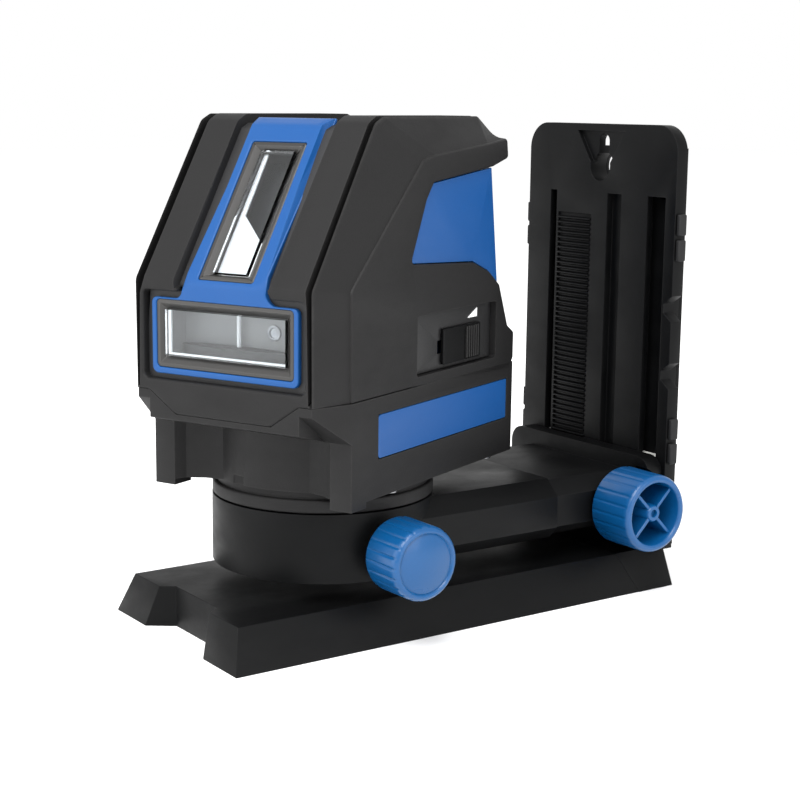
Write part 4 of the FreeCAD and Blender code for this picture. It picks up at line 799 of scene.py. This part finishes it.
@dataclass(frozen=True)
class Path:
    """An open line in the head's v and z with rounded corners, and planes parallel to it.

    Attributes:
        corners: (v, z, radius) in millimetres.
        steps: how many chords make each arc.
    """

    corners: tuple[Corner, ...]
    steps: int = 8

    def samples(self) -> np.ndarray:
        """Draw the line.

        Returns:
            Its points: both ends, and an arc at each corner between them.
        """
        line = np.array([(c[0], c[1]) for c in self.corners], float)
        radius = np.array([c[2] for c in self.corners], float)
        middle = line[1:-1]
        rounded = arcs(middle, line[:-2] - middle, line[2:] - middle, radius[1:-1], self.steps)
        return np.vstack([line[:1], rounded, line[-1:]])

    def length_to(self, corner: int) -> float:
        """How far along the rounded line a corner lies.

        Args:
            corner: the corner's number; the first end is 0.

        Returns:
            The length up to the middle of the corner's arc, in millimetres.
        """
        lengths = np.linalg.norm(np.diff(self.samples(), axis=0), axis=1)
        middle = 1 + (corner - 1) * (self.steps + 1) + self.steps // 2
        return float(lengths[:middle].sum())

    def place(self, lift: float = 0.0) -> Place:
        """Maps (u, distance along, depth) to the CAD frame.

        The place along the line is read by its length, and the depth goes along the line's inward
        normal there, which turns smoothly through each arc.

        Args:
            lift: a depth that is added to every point's.

        Returns:
            The map.
        """
        points = self.samples()
        steps = np.linalg.norm(np.diff(points, axis=0), axis=1)
        along = np.concatenate([[0], np.cumsum(steps)])
        way = np.gradient(points, along, axis=0)
        way /= np.linalg.norm(way, axis=1, keepdims=True)

        def to_frame(cloud: np.ndarray) -> np.ndarray:
            """Place a cloud of points.

            Args:
                cloud: (u, distance along, depth) in millimetres.

            Returns:
                (x, y, z) in metres.
            """
            u, s, depth = cloud[:, 0], cloud[:, 1], cloud[:, 2] + lift
            v, z = (np.interp(s, along, points[:, k]) for k in range(2))
            dv, dz = (np.interp(s, along, way[:, k]) for k in range(2))
            beyond = s - np.clip(s, 0, along[-1])
            v, z = v + beyond * dv + depth * dz, z + beyond * dz - depth * dv
            return turned(np.stack([u, v, z], -1) * MM)

        return to_frame


def side_place(sign: int, reach: float) -> Place:
    """Maps (v, z, depth) on the head's right (1) or left (-1) side to the CAD frame."""
    return lambda p: turned(np.stack([sign * (reach - p[:, 2]), p[:, 0], p[:, 1]], -1) * MM)


def face_place(front: float) -> Place:
    """Maps (u, z, depth) on the head's front to the CAD frame."""
    return lambda p: turned(np.stack([p[:, 0], front + p[:, 2], p[:, 1]], -1) * MM)


def box_loop(low: Spot, high: Spot, radius: float, steps: int = 6) -> np.ndarray:
    """A rectangle with rounded corners, counter-clockwise."""
    return arc_corners([low, (high[0], low[1]), high, (low[0], high[1])], steps, radius)


def area(loop: np.ndarray) -> float:
    """The signed area of a closed outline: half the sum of its cross products."""
    ahead = np.roll(loop, -1, 0)
    return float((loop[:, 0] * ahead[:, 1] - loop[:, 1] * ahead[:, 0]).sum() / 2)


def frame_ring(name: str, outer: np.ndarray, inner: np.ndarray, place: Place,
               rim: float, drop: float, slope: bool = True, edge: float = 0.25) -> bpy.types.Object:
    """A frame between two outlines with as many points, closed all round.

    Its section runs from the outer wall over a rounded edge, along a flat rim, down a slope (or a
    straight wall) to the inner outline, and back underneath.

    Args:
        name: the piece's name.
        outer: the outer outline.
        inner: the inner outline, point by point beside the outer one.
        place: maps points (a, b, depth) in millimetres to the CAD frame.
        rim: the flat rim's width.
        drop: the depth at the inner outline.
        slope: whether the rim slopes down to the inner outline.
        edge: the outer edge's radius.

    Returns:
        The closed piece.
    """
    t = np.linspace(0, math.pi / 2, 4)
    rows = [(outer, drop + 0.4)]
    rows += [(inset(outer, edge * (1 - math.cos(x))), edge * (1 - math.sin(x))) for x in t]
    ridge = inset(outer, rim) if slope else inset(inner, -0.2)
    rows += [(inset(outer, rim - 0.1) if slope else inset(inner, -0.3), 0.0), (ridge, 0.08)]
    rows += [(inner, drop if slope else 0.3), (inner, drop + 0.4)]
    cloud = np.vstack([np.column_stack([loop, np.full(len(loop), depth)]) for loop, depth in rows])
    return smooth(outwards(mesh_object(name, place(cloud), bands(len(rows), len(outer), True))), 30.0)


# A side shell's corners as (v, z, radius): the rear ones, which both outlines share, and the front
# ones at the seam and on the flat side. Then the bay of the power slider.
CHEEK_REAR = [
    (91.8, 132.7, 1.2), (92.7, 127.1, 1.2), (83.9, 124.9, 0.8), (51.2, 121.6, 1.2), (47.6, 117.3, 1.2),
    (39.9, 100.9, 1.2), (73.9, 98.9, 4), (82.6, 95.8, 4), (88.9, 91.6, 1.5), (94.4, 79.3, 1.2),
    (98.3, 77.0, 1.2), (98.3, 69.4, 1.2), (95.6, 66.0, 1.2), (90, 66.2, 3)]
CHEEK_SEAM = [
    (40.0, 68.35, 8), (0.3, 68.35, 0.3), (0.1, 96.9, 3), (27.8, 137.0, 3.2), (31.7, 138.7, 3.2),
    (81.0, 138.7, 4)]
CHEEK_SIDE = [
    (40.0, 68.35, 8), (12.0, 68.35, 0.3), (11.6, 96.1, 3), (45.9, 127.6, 2), (51.5, 128.8, 3),
    (81.0, 131.4, 4)]
SWITCH_BAY = box_loop((43.4, 70.8), (87.0, 87.0), 0.8)


def cheek_shell(name: str, sign: int, low: float, high: float) -> bpy.types.Object:
    """A side shell whose facet joins the seam's outline to the flat side's outline.

    Both outlines have the same corners. At a share t of the way out the outline is
    (1 - t) times the seam's plus t times the side's, and a quarter circle rounds the last edge.

    Args:
        name: the piece's name.
        sign: 1 on the head's right, -1 on its left.
        low: u at the seam.
        high: u of the flat side.

    Returns:
        The closed piece.
    """
    inner, outer = (arc_corners((front + CHEEK_REAR)[::-1], 6) for front in (CHEEK_SEAM, CHEEK_SIDE))
    if area(inner) < 0:
        inner, outer = inner[::-1], outer[::-1]
    tall, edge = high - low, 0.7
    rows = [(inner, tall), (inner, tall - 0.01)]
    shares = np.linspace(0.0, 1.0, 7)[1:]
    rows += [(inner + (outer - inner) * x, tall - (tall - edge) * x) for x in shares]
    angles = np.linspace(0, math.pi / 2, 5)[1:]
    rows += [(inset(outer, edge * 0.8 * (1 - math.cos(x))), edge * (1 - math.sin(x))) for x in angles]
    total = len(inner)
    cloud = [np.column_stack([loop, np.full(total, depth)]) for loop, depth in rows]
    faces = bands(len(rows), total)
    holes = [SWITCH_BAY[::-1]] if sign > 0 else []
    rims = []
    for row in (0, len(rows) - 1):
        offset = sum(len(block) for block in cloud)
        faces += close_row(cloud, row, [cloud[row][:, :2], *holes], np.zeros((0, 2))).tolist()
        rims.append(offset + np.arange(sum(len(hole) for hole in holes)))
    near, far = rims
    faces += np.stack([near, np.roll(near, -1), np.roll(far, -1), far], -1).tolist()
    piece = outwards(mesh_object(name, side_place(sign, high)(np.vstack(cloud)), faces))
    return smooth(piece, 26.0)


# ------------------------------------------------------------------ stage and camera


@dataclass
class Studio:
    """Camera, floor and soft lights."""

    target: tuple[float, float, float] = (0.005707, 0.02184, 0.05994)
    distance: float = 0.46335
    azimuth: float = 54.789
    elevation: float = 10.235
    roll: float = 0.692
    lens: float = 74.23
    sensor: float = 36.0
    floor_half: float = 4.0
    white: float = 0.99
    lamps: tuple[tuple[str, Corner, float, float], ...] = (
        ("key", (0.45, -0.55, 1.1), 0.8, 19.0), ("side", (1.1, 0.1, 0.45), 0.8, 6.0),
        ("fill", (-0.2, -1.0, 0.4), 0.9, 5.0))

    def camera(self) -> None:
        """The camera: it looks at the target from an azimuth and elevation, rolled a little."""
        a, e, r = (math.radians(x) for x in (self.azimuth, self.elevation, self.roll))
        back = Vector((math.sin(a) * math.cos(e), -math.cos(a) * math.cos(e), math.sin(e)))
        right = Vector((math.cos(a), math.sin(a), 0))
        up = back.cross(right)
        across = right * math.cos(r) + up * math.sin(r)
        above = up * math.cos(r) - right * math.sin(r)
        data = bpy.data.cameras.new("camera")
        data.lens, data.sensor_width = self.lens, self.sensor
        data.clip_start, data.clip_end = 0.01, 20.0
        camera = bpy.data.objects.new("camera", data)
        turn = Matrix((across, above, back)).transposed().to_4x4()
        turn.translation = Vector(self.target) + back * self.distance
        camera.matrix_world = turn
        bpy.context.scene.collection.objects.link(camera)
        bpy.context.scene.camera = camera

    def floor(self) -> None:
        """A pale floor, seen to the horizon."""
        size, white = self.floor_half, self.white
        corners = np.array([(-size, -size, 0), (size, -size, 0), (size, size, 0), (-size, size, 0)])
        plane = mesh_object("floor", corners, [[0, 1, 2, 3]])
        material, _, shader = new_material("floor_paper")
        shader["Base Color"].default_value = (white, white, white, 1)
        shader["Roughness"].default_value = 1.0
        shader["Specular IOR Level"].default_value = 0.0
        plane.data.materials.append(material)

    def light(self, name: str, place: Sequence[float], size: float, power: float) -> None:
        """A square soft light that looks at the object.

        Args:
            name: its name.
            place: where it stands, in metres.
            size: its side in metres.
            power: its power in watts.
        """
        data = bpy.data.lights.new(name, "AREA")
        data.size, data.energy = size, power
        lamp = bpy.data.objects.new(name, data)
        lamp.location = place
        aim = Vector(self.target) - Vector(place)
        lamp.rotation_euler = aim.to_track_quat("-Z", "Y").to_euler()
        bpy.context.scene.collection.objects.link(lamp)

    def build(self) -> None:
        """Camera first, then floor, lights and a pale surrounding."""
        self.camera()
        self.floor()
        for lamp in self.lamps:
            self.light(*lamp)
        world = bpy.data.worlds.new("studio")
        world.use_nodes = True
        background = world.node_tree.nodes["Background"].inputs
        background["Color"].default_value, background["Strength"].default_value = (1, 1, 1, 1), 1.0
        bpy.context.scene.world = world
        bpy.context.scene.view_settings.view_transform = "Standard"
        log.info("studio: camera, floor and three soft lights")


# ------------------------------------------------------------------ sub-assemblies


@dataclass
class SubAssembly:
    """Shared ways of dressing and standing in for the CAD parts of one body."""

    frame: dict
    palette: Palette

    def dress(self, node: str, finish: Finish) -> None:
        """Give a CAD part its finish.

        Args:
            node: the CAD part's name.
            finish: its finish.
        """
        mesh = self.frame["nodes"][node].data
        mesh.materials.clear()
        mesh.materials.append(self.palette(finish))

    def stand_in(self, piece: bpy.types.Object, body: str, finish: Finish, *nodes: str,
                 material: Optional[bpy.types.Material] = None) -> bpy.types.Object:
        """Dress a new piece, let it ride on a body and let it stand for CAD parts.

        Args:
            piece: the new piece.
            body: the body it rides on.
            finish: its material if none is given.
            nodes: the CAD parts it stands for, if any.
            material: another material.

        Returns:
            The piece.
        """
        piece.data.materials.clear()
        piece.data.materials.append(material or self.palette(finish))
        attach(piece, body)
        if nodes:
            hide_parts(*nodes)
        log.info("%s rides on %s", piece.name, body)
        return piece

    def soften(self, node: str, body: str, finish: Finish, radius: float) -> bpy.types.Object:
        """Stand a rounded copy in for a CAD part."""
        piece = softened(self.frame["nodes"][node], radius * MM)
        return self.stand_in(piece, body, finish, node)


@dataclass
class Bracket(SubAssembly):
    """The foot and the column."""

    rounds: dict[str, float] = field(default_factory=lambda: {
        "foot_plate": 0.9, "column": 0.35, "column_base": 0.5, "back_cover": 0.3, "side_pads": 0.5,
        "foot_base_plate": 0.2, "rack_strip": 0.08})

    def build(self) -> None:
        """Round the visible parts and dress the hidden ones."""
        for node, radius in self.rounds.items():
            finish = {"side_pads": Finish.RUBBER_PAD, "foot_base_plate": Finish.STEEL}.get(
                node, Finish.CHARCOAL_FRAME)
            self.soften(node, "bracket", finish, radius)
        for node in ("foot_screws", "back_magnets", "cover_screws", "column_bolts"):
            self.dress(node, Finish.STEEL)
        self.dress("tripod_insert", Finish.BRASS)


@dataclass
class Carriage(SubAssembly):
    """The drum, the arm and the sliding block."""

    def build(self) -> None:
        """Round the housings and dress the rest."""
        for node, radius in {"arm_housing": 0.7, "carriage_block": 0.8, "gear_cover": 0.3}.items():
            self.soften(node, "carriage", Finish.CHARCOAL_FRAME, radius)
        for node in ("gear_cover_screws", "block_screws", "idler_pin"):
            self.dress(node, Finish.STEEL)
        for node in ("shaft_bushes", "spindle_bush"):
            self.dress(node, Finish.BRASS)
        self.dress("guide_shoes", Finish.WHITE_POLYMER)
        self.dress("idler_gear", Finish.BRASS)


@dataclass
class Knobs(SubAssembly):
    """The two hand knobs with their shafts and pinions, in millimetres."""

    shaft_height: float = 25.9
    lift_place: float = 87.0
    grooves: int = 22
    columns: int = 264
    turn_groove: float = 0.38
    lift_groove: float = 0.32
    lift_start: float = 26.9
    lift_end: float = 42.6
    spokes: int = 4
    spoke: float = 1.0

    def beside(self, y: float) -> Place:
        """Maps (x, across, up) about a shaft's axis to the CAD frame."""
        return lambda p: (p + np.array([0.0, y, self.shaft_height])) * MM

    def turn_knob(self) -> None:
        """The closed knob: a collar, a grooved rim and a flat end inside a raised ring."""
        profile = [(33.1, 0), (33.1, 6.3), (33.3, 6.5), (35.0, 6.5), (35.2, 8.9), (35.9, 9.7),
                   (36.6, 10),
                   (47.2, 10), (48.0, 9.95), (48.9, 9.6), (49.4, 9.0), (49.5, 8.6), (49.4, 8.3),
                   (49.05, 8.15), (48.95, 8.0), (49.05, 7.8), (49.25, 7.5), (49.3, 0)]
        grooved = [False] * 6 + [True] * 3 + [False] * (len(profile) - 9)
        piece = lathe("turn_knob_grip", profile, self.beside(0.0), self.columns, self.grooves,
                      self.turn_groove, grooved)
        self.stand_in(smooth(piece, 50), "turn_knob", Finish.BLUE_KNOB, "turn_knob")

    def lift_knob(self) -> None:
        """The open knob: a grooved cup, a hub and four spokes that stand as a cross on its corner."""
        start, end = self.lift_start, self.lift_end
        profile = [(start, 0), (start, 10.4), (start + 0.4, 11.1), (start + 1.0, 11.4),
                   (end - 2.2, 11.4),
                   (end - 1.0, 11.3), (end - 0.3, 10.9), (end, 10.4), (end, 9.7), (end - 0.3, 9.3),
                   (end - 1.0, 9.15), (start + 3.4, 9.0), (start + 3.0, 8.6), (start + 3.0, 0)]
        grooved = [False] * 3 + [True] * 2 + [False] * (len(profile) - 5)
        cup = lathe("lift_knob_cup", profile, self.beside(self.lift_place), self.columns,
                    self.grooves, self.lift_groove, grooved)
        self.stand_in(smooth(cup, 50), "lift_knob", Finish.BLUE_KNOB, "lift_knob")
        profile = [(start + 2.5, 0), (start + 2.5, 2.9), (end - 1.5, 2.5), (end - 1.0, 2.1),
                   (end - 1.0, 1.2), (end - 2.2, 1.1), (end - 2.2, 0)]
        hub = lathe("lift_knob_hub", profile, self.beside(self.lift_place), 48)
        self.stand_in(smooth(hub, 40), "lift_knob", Finish.BLUE_KNOB)
        for k in range(self.spokes):
            angle = math.radians(45 + 360 / self.spokes * k)
            loop = box_loop((2.0, start + 2.5), (9.4, end - 1.3), 0.3)
            piece = plate(f"lift_knob_spoke_{k + 1}", loop, self.spoke, self.spoke_place(angle),
                          edge=0.3, back_edge=0.3)
            self.stand_in(piece, "lift_knob", Finish.BLUE_KNOB)

    def spoke_place(self, angle: float) -> Place:
        """Maps (radius, x, depth) on a plane through the lift knob's axis to the CAD frame.

        Args:
            angle: the plane's angle about the axis.

        Returns:
            The map, with the plane halfway through a spoke's thickness.
        """
        way = np.array([0.0, math.cos(angle), math.sin(angle)])
        side = np.array([0.0, -math.sin(angle), math.cos(angle)])
        axis = np.array([1.0, 0.0, 0.0])
        return lambda p: self.beside(self.lift_place)(
            p[:, :1] * way + p[:, 1:2] * axis + (p[:, 2:] - self.spoke / 2) * side)

    def build(self) -> None:
        """Both knobs and what turns with them."""
        self.turn_knob()
        self.lift_knob()
        for node in ("lift_shaft", "turn_shaft"):
            self.dress(node, Finish.STEEL)
        for node in ("lift_pinion", "turn_pinion"):
            self.dress(node, Finish.BRASS)
        self.soften("clamp_screw", "clamp_screw", Finish.CHARCOAL_FRAME, 0.3)


@dataclass(frozen=True)
class Opening:
    """A window's outlines in millimetres: low and high corners, and the corners' radius."""

    low: Spot
    high: Spot
    radius: float

    def loop(self, u: float = 0.0, below: float = 0.0, above: float = 0.0, shift: float = 0.0,
             radius: Optional[float] = None) -> np.ndarray:
        """The outline, made smaller at its sides and both ends and moved along.

        Args:
            u: how much it is smaller at each side.
            below: how much it is smaller at the low end.
            above: how much it is smaller at the high end.
            shift: how far it is moved along its second axis.
            radius: the corners' radius, if another.

        Returns:
            The counter-clockwise outline.
        """
        return box_loop((self.low[0] + u, self.low[1] + below + shift),
                        (self.high[0] - u, self.high[1] - above + shift),
                        self.radius if radius is None else radius)


# How single pieces of the head look where no finish of the record fits
LOOKS = {
    "shadow_plastic": Surface((0.008, 0.008, 0.009), (0.02, 0.02, 0.02), 0.6, 0.05, wear=0.1),
    "bezel_plastic": Surface((0.018, 0.017, 0.016), (0.09, 0.085, 0.08), 0.36, 0.05, grain=4000,
                             relief=0.000008, wear=0.5, edge_radius=0.0005),
    "well_black": Surface((0.004, 0.004, 0.0045), (0.01, 0.01, 0.01), 0.5, 0.05, wear=0.0),
    # Bright white: the switch's printed mark, and a painted reflection under the slanted window's glass.
    "reflector_white": Surface((0.9, 0.9, 0.9), (0.95, 0.95, 0.95), 0.3, 0.05, relief=0.000003,
                               variation=0.02),
    "chamber_grey": Surface((0.25, 0.25, 0.245), (0.5, 0.5, 0.5), 0.5, 0.08, relief=0.000006,
                            variation=0.05, wear=0.2),
    # Bright white: the chamber's rod, and painted highlights along the front window's foot and left
    # side.
    "light_guide": Surface((0.9, 0.9, 0.9), (0.95, 0.95, 0.95), 0.2, 0.04, relief=0.000002,
                           variation=0.02)}


@dataclass
class Head(SubAssembly):
    """The laser's upper and lower housing, in millimetres of u, v and height.

    Lines along the housing's profile are measured from the height path_foot, where it starts.
    """

    half: float = 31.5
    core: float = 27.25
    seam: float = 68.3
    path_foot: float = 60.0
    face_top: float = 96.9
    slant_top: Spot = (27.8, 137.0)
    roof: Corner = (30.5, 81.0, 138.8)
    nose: tuple[Spot, ...] = ((91.8, 132.7), (92.7, 127.1), (83.8, 124.8))
    channel: float = 14.0
    strip: float = 12.5
    recess: Corner = (25.2, 71.4, 94.5)
    channel_depth: float = 2.4
    chin: Corner = (15.0, 23.5, 62.5)
    blue_lift: float = 0.9
    blue_frame: tuple[float, float, float] = (22.9, 72.8, 4.3)
    shell: float = 3.2
    well_depth: float = 9.0
    panel: tuple[Corner, ...] = (
        (51.0, 121.3, 0.8), (47.6, 117.0, 0.8), (40.2, 101.0, 1.4), (73.9, 99.2, 4), (82.8, 96.0, 4),
        (88.6, 92.1, 0.2), (83.9, 124.6, 0.2))
    band: tuple[Corner, ...] = (
        (24.7, 52.2, 1.2), (94.3, 52.2, 0.5), (94.3, 63.6, 0.5), (24.7, 63.6, 1.2))
    ribs: int = 6
    rib_start: float = 70.6
    rib_pitch: float = 1.25
    rib_width: float = 0.55
    hidden: dict[str, Finish] = field(default_factory=lambda: {
        "crown_gear": Finish.WHITE_POLYMER, "turntable_spindle": Finish.STEEL,
        "spindle_clip": Finish.STEEL, "door_pin": Finish.STEEL, "battery_tray": Finish.CHARCOAL_FRAME,
        "battery_cells": Finish.CELL_WRAP, "battery_contacts": Finish.STEEL,
        "head_insert": Finish.BRASS, "case_screws": Finish.STEEL,
        "inner_frame": Finish.CHARCOAL_FRAME, "damping_magnet": Finish.STEEL,
        "circuit_board": Finish.BOARD, "gimbal_ring": Finish.BRASS, "pendulum_frame": Finish.BRASS,
        "pendulum_weight": Finish.COPPER, "laser_emitters": Finish.BRASS,
        "upper_window": Finish.WINDOW_GLASS, "lower_window": Finish.WINDOW_GLASS})

    def __post_init__(self) -> None:
        """The profile, and both windows as openings along it and on the face."""
        front, rear, top = self.roof
        nose = tuple((v, z, 1.5) for v, z in self.nose[:2])
        self.path = Path(((0.0, self.path_foot, 0.0), (0.0, self.face_top, 3.0), (*self.slant_top, 3.2),
                          (front + 1.2, top, 3.2), (rear, top, 4.0), *nose, (*self.nose[2], 0.0)))
        self.slant = self.path.length_to(1)
        self.slit = Opening((-8.5, self.slant + 1.7), (8.5, self.slant + 43.2), 0.7)
        self.window = Opening((-21.45, 74.45), (21.45, 92.05), 1.2)

    def put(self, piece: bpy.types.Object, finish: Finish, *nodes: str, look: str = "") -> None:
        """Let a piece ride on the turntable, with a look of its own if one is named."""
        material = self.palette.own(look, LOOKS[look]) if look else None
        self.stand_in(piece, "turntable", finish, *nodes, material=material)

    def core_shell(self) -> None:
        """The two raised strips with the face below them, as one plate bent along the profile."""
        base = self.path_foot
        seam, end, neck = self.seam - base, self.path.length_to(6) + 8.0, self.slant - 2.6
        side, low = self.recess[0], self.recess[1] - base
        inner, outer, dip = self.chin[0], self.chin[1], self.chin[2] - base
        c, gap = self.core, self.channel
        outline = arc_corners([
            (-c, seam, 0.3), (-outer, seam, 3), (-inner, dip, 3), (inner, dip, 3), (outer, seam, 3),
            (c, seam, 0.3), (c, end, 0.5), (gap, end, 0.5), (gap, neck, 2.4), (side, neck, 1.2),
            (side, low, 1.6), (-side, low, 1.6), (-side, neck, 1.2), (-gap, neck, 0.8),
            (-gap, end, 0.5), (-c, end, 0.5)])
        piece = plate("upper_housing_core", outline, self.shell, self.path.place(), edge=0.8, grid=1.2)
        self.put(piece, Finish.CHARCOAL_SHELL, "upper_case")
        floor = box_loop((-c + 0.6, seam + 1), (c - 0.6, end - 0.4), 0.5, 8)
        holes = (self.slit.loop(0.3, 1.5, 0.2, radius=0.8),
                 box_loop((-20.0, 76 - base), (20.0, 91 - base), 0.8))
        piece = plate("upper_housing_floor", floor, 0.9, self.path.place(self.channel_depth),
                      holes=holes, edge=0.1, grid=1.2)
        self.put(piece, Finish.CHARCOAL_SHELL, look="shadow_plastic")

    def blue_front(self) -> None:
        """The blue trim: a strip down the slant that widens into the front window's frame."""
        w, end = self.strip, self.path.length_to(3) + 2.2
        f, low, drop = self.blue_frame
        low, neck = low - self.path_foot, self.slant - drop
        outline = arc_corners([
            (-f, low, 1.8), (f, low, 1.8), (f, neck, 1.6), (w + 0.9, neck, 3.2), (w, neck + 8, 8),
            (w, end, 0.8), (-w, end, 0.8), (-w, neck + 8, 8), (-w - 0.9, neck, 2.2), (-f, neck, 1.6)])
        holes = (self.slit.loop(-0.1, -0.1, -0.1),
                 self.window.loop(-0.05, -0.05, -0.05, -self.path_foot))
        piece = plate("blue_front_trim", outline, 1.5, self.path.place(self.blue_lift), holes=holes,
                      edge=0.35, grid=1.0)
        self.put(piece, Finish.BLUE_SHELL, "window_strip", "lower_window_frame")

    def bezels(self) -> None:
        """The dark frames of both windows: a flat rim that slopes down to the glass."""
        piece = frame_ring("slant_bezel", self.slit.loop(), self.slit.loop(3.3, 2.6, 2.4, radius=0.5),
                           self.path.place(self.blue_lift + 0.25), rim=1.2, drop=1.9)
        self.put(piece, Finish.CHARCOAL_FRAME, "upper_window_frame", look="bezel_plastic")
        inner = box_loop((-19.0, 77.4), (18.8, 89.5), 0.5)
        piece = frame_ring("front_bezel", self.window.loop(), inner, face_place(1.2), rim=1.1, drop=1.3)
        self.put(piece, Finish.CHARCOAL_FRAME, look="bezel_plastic")

    def slant_chamber(self) -> None:
        """What shows behind the slanted window: a black well, and in it a white plate that is a painted
        reflection of the glare on the glass.
        """
        s = self.slant
        floor = box_loop((-8.0, s + 3.4), (8.0, s + 42.4), 0.5)
        self.put(plate("slant_well", floor, 0.8, self.path.place(self.well_depth), edge=0.1),
                 Finish.CHARCOAL_FRAME, look="well_black")
        wall = frame_ring("slant_well_wall", box_loop((-8.0, s + 3.0), (8.0, s + 42.8), 0.6),
                          box_loop((-6.6, s + 3.9), (6.6, s + 41.4), 0.5),
                          self.path.place(self.well_depth - 4.6), rim=1.2, drop=4.6, slope=False)
        self.put(wall, Finish.CHARCOAL_FRAME, look="well_black")
        # The white plate below is a painted reflection: its colour stands in for the glare on the
        # slanted glass.
        outline = arc_corners([
            (-5.4, s + 4.1, 0.1), (5.4, s + 4.1, 0.1), (5.4, s + 13.6, 0.1), (3.2, s + 15.6, 3),
            (-3.9, s + 22.3, 0.6), (-4.1, s + 41, 0.1), (-5.4, s + 41, 0.1)])
        self.put(plate("slant_reflector", outline, 0.5, self.path.place(4.05), edge=0.1),
                 Finish.WHITE_POLYMER, look="reflector_white")

    def front_chamber(self) -> None:
        """What shows behind the front window: grey walls, a floor disc, a rod, a lens ring, and white
        strips at its foot and left side that are painted highlights.
        """
        front, back, floor = 3.4, 10.2, 77.6
        tube = frame_ring("front_chamber_wall", box_loop((-20.2, 75.6), (20.2, 91.2), 0.8),
                          box_loop((-18.9, 77.2), (18.9, 89.7), 0.5), face_place(front), rim=1.2,
                          drop=7.0, slope=False)
        self.put(tube, Finish.WHITE_POLYMER, look="chamber_grey")
        self.put(plate("front_chamber_back", box_loop((-20.0, 75.8), (20.0, 91.0), 0.6), 0.8,
                       face_place(back), edge=0.1), Finish.WHITE_POLYMER, look="chamber_grey")

        def standing(u: float, v: float, wide: float = 1.0, deep: float = 1.0) -> Place:
            """Maps (up, across, along) about an upright axis, stretched across and along."""
            return lambda p: turned(np.stack([u + p[:, 1] * wide, v + p[:, 2] * deep, floor + p[:, 0]],
                                             -1) * MM)

        profile = [(0, 0), (0, 6.4), (0.2, 6.6), (2.6, 6.6), (2.8, 6.4), (2.8, 0)]
        disc = lathe("front_chamber_disc", profile, standing(0.0, front + 3.5, 2.6, 0.45), 96)
        self.put(disc, Finish.CHARCOAL_FRAME, look="well_black")
        rod = lathe("front_chamber_rod", [(0, 0), (0, 0.55), (11.8, 0.55), (11.8, 0)],
                    standing(-0.4, 8.6), 24)
        self.put(rod, Finish.STEEL, look="light_guide")
        profile = [(0, 0), (0, 1.2), (-0.4, 1.3), (-0.5, 1.6), (-0.4, 2.0), (0.2, 2.1), (0.3, 0)]
        ring = lathe("front_chamber_ring", profile, lambda p: turned(
            np.stack([9.6 + p[:, 1], 10.0 + p[:, 0], 84.6 + p[:, 2]], -1) * MM), 40)
        self.put(ring, Finish.STEEL)
        # Painted highlights: two white strips behind the bezel's foot and left side stand in for light
        # on those edges.
        for label, low, high in (("foot", (-18.0, 77.7), (18.6, 78.25)),
                                 ("side", (-18.6, 77.7), (-17.7, 89.2))):
            lip = plate(f"light_guide_{label}", box_loop(low, high, 0.2), 0.6, face_place(2.75),
                        edge=0.1)
            self.put(lip, Finish.WHITE_POLYMER, look="light_guide")

    def sides(self) -> None:
        """Both side shells, the blue panels in their bays, and the blue bands below."""
        panel, band = arc_corners(self.panel), arc_corners(self.band)
        if area(panel) < 0:
            panel = panel[::-1]
        for name, sign in (("right", 1), ("left", -1)):
            shell = cheek_shell(f"{name}_side_shell", sign, self.core + 0.15, self.half)
            self.put(shell, Finish.CHARCOAL_SHELL, f"{name}_cheek")
            for label, loop, thick, sunk, edge in (("panel", panel, 2.2, 0.75, 0.2),
                                                   ("band", band, 1.1, 0.12, 0.15)):
                piece = plate(f"{name}_blue_{label}", loop, thick, side_place(sign, self.half - sunk),
                              edge=edge)
                self.put(piece, Finish.BLUE_SHELL, *((f"side_{label}s",) if sign > 0 else ()))

    def switch(self) -> None:
        """The power slider with its row of ribs, and the recess it slides in."""
        body = plate("lock_slider_body", box_loop((58.6, 72.1), (79.3, 81.9), 0.6), 1.0,
                     side_place(1, self.half - 0.75), edge=0.25)
        self.stand_in(body, "lock_slider", Finish.CHARCOAL_FRAME, "lock_slider")
        for k in range(self.ribs):
            v = self.rib_start + k * self.rib_pitch
            loop = box_loop((v, 72.6), (v + self.rib_width, 81.4), 0.25)
            rib = plate(f"lock_slider_rib_{k + 1}", loop, 1.2, side_place(1, self.half - 0.1), edge=0.25)
            self.stand_in(rib, "lock_slider", Finish.CHARCOAL_SHELL)
        floor = plate("switch_floor", box_loop((43.6, 71.0), (86.8, 86.8), 0.5), 0.5,
                      side_place(1, self.half - 1.85), edge=0.1,
                      holes=(box_loop((57.0, 75.2), (77.0, 78.8), 0.3),))
        self.put(floor, Finish.CHARCOAL_FRAME, look="well_black")
        mark = arc_corners([(73.2, 83.4, 0.1), (78.6, 83.4, 0.1), (78.6, 86.0, 0.1)], 2)
        self.put(plate("switch_mark", mark, 0.3, side_place(1, self.half - 1.6), edge=0.05),
                 Finish.WHITE_POLYMER, look="reflector_white")

    def build(self) -> None:
        """All the head's pieces."""
        self.core_shell()
        self.blue_front()
        self.bezels()
        self.slant_chamber()
        self.front_chamber()
        self.sides()
        self.switch()
        for node, body, finish, radius in (
                ("lower_case", "turntable", Finish.CHARCOAL_SHELL, 0.9),
                ("turntable_disc", "turntable", Finish.CHARCOAL_SHELL, 0.6),
                ("rear_cover", "turntable", Finish.BLUE_SHELL, 0.3),
                ("battery_door", "battery_door", Finish.CHARCOAL_SHELL, 0.3)):
            self.soften(node, body, finish, radius)
        for node, finish in self.hidden.items():
            self.dress(node, finish)


def main() -> None:
    logging.basicConfig(level=logging.INFO, format="%(name)s: %(message)s")
    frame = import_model()
    palette = Palette()
    Studio().build()
    for part in (Bracket, Carriage, Knobs, Head):
        part(frame, palette).build()
        log.info("built %s", part.__name__)


if __name__ == "__main__":
    main()
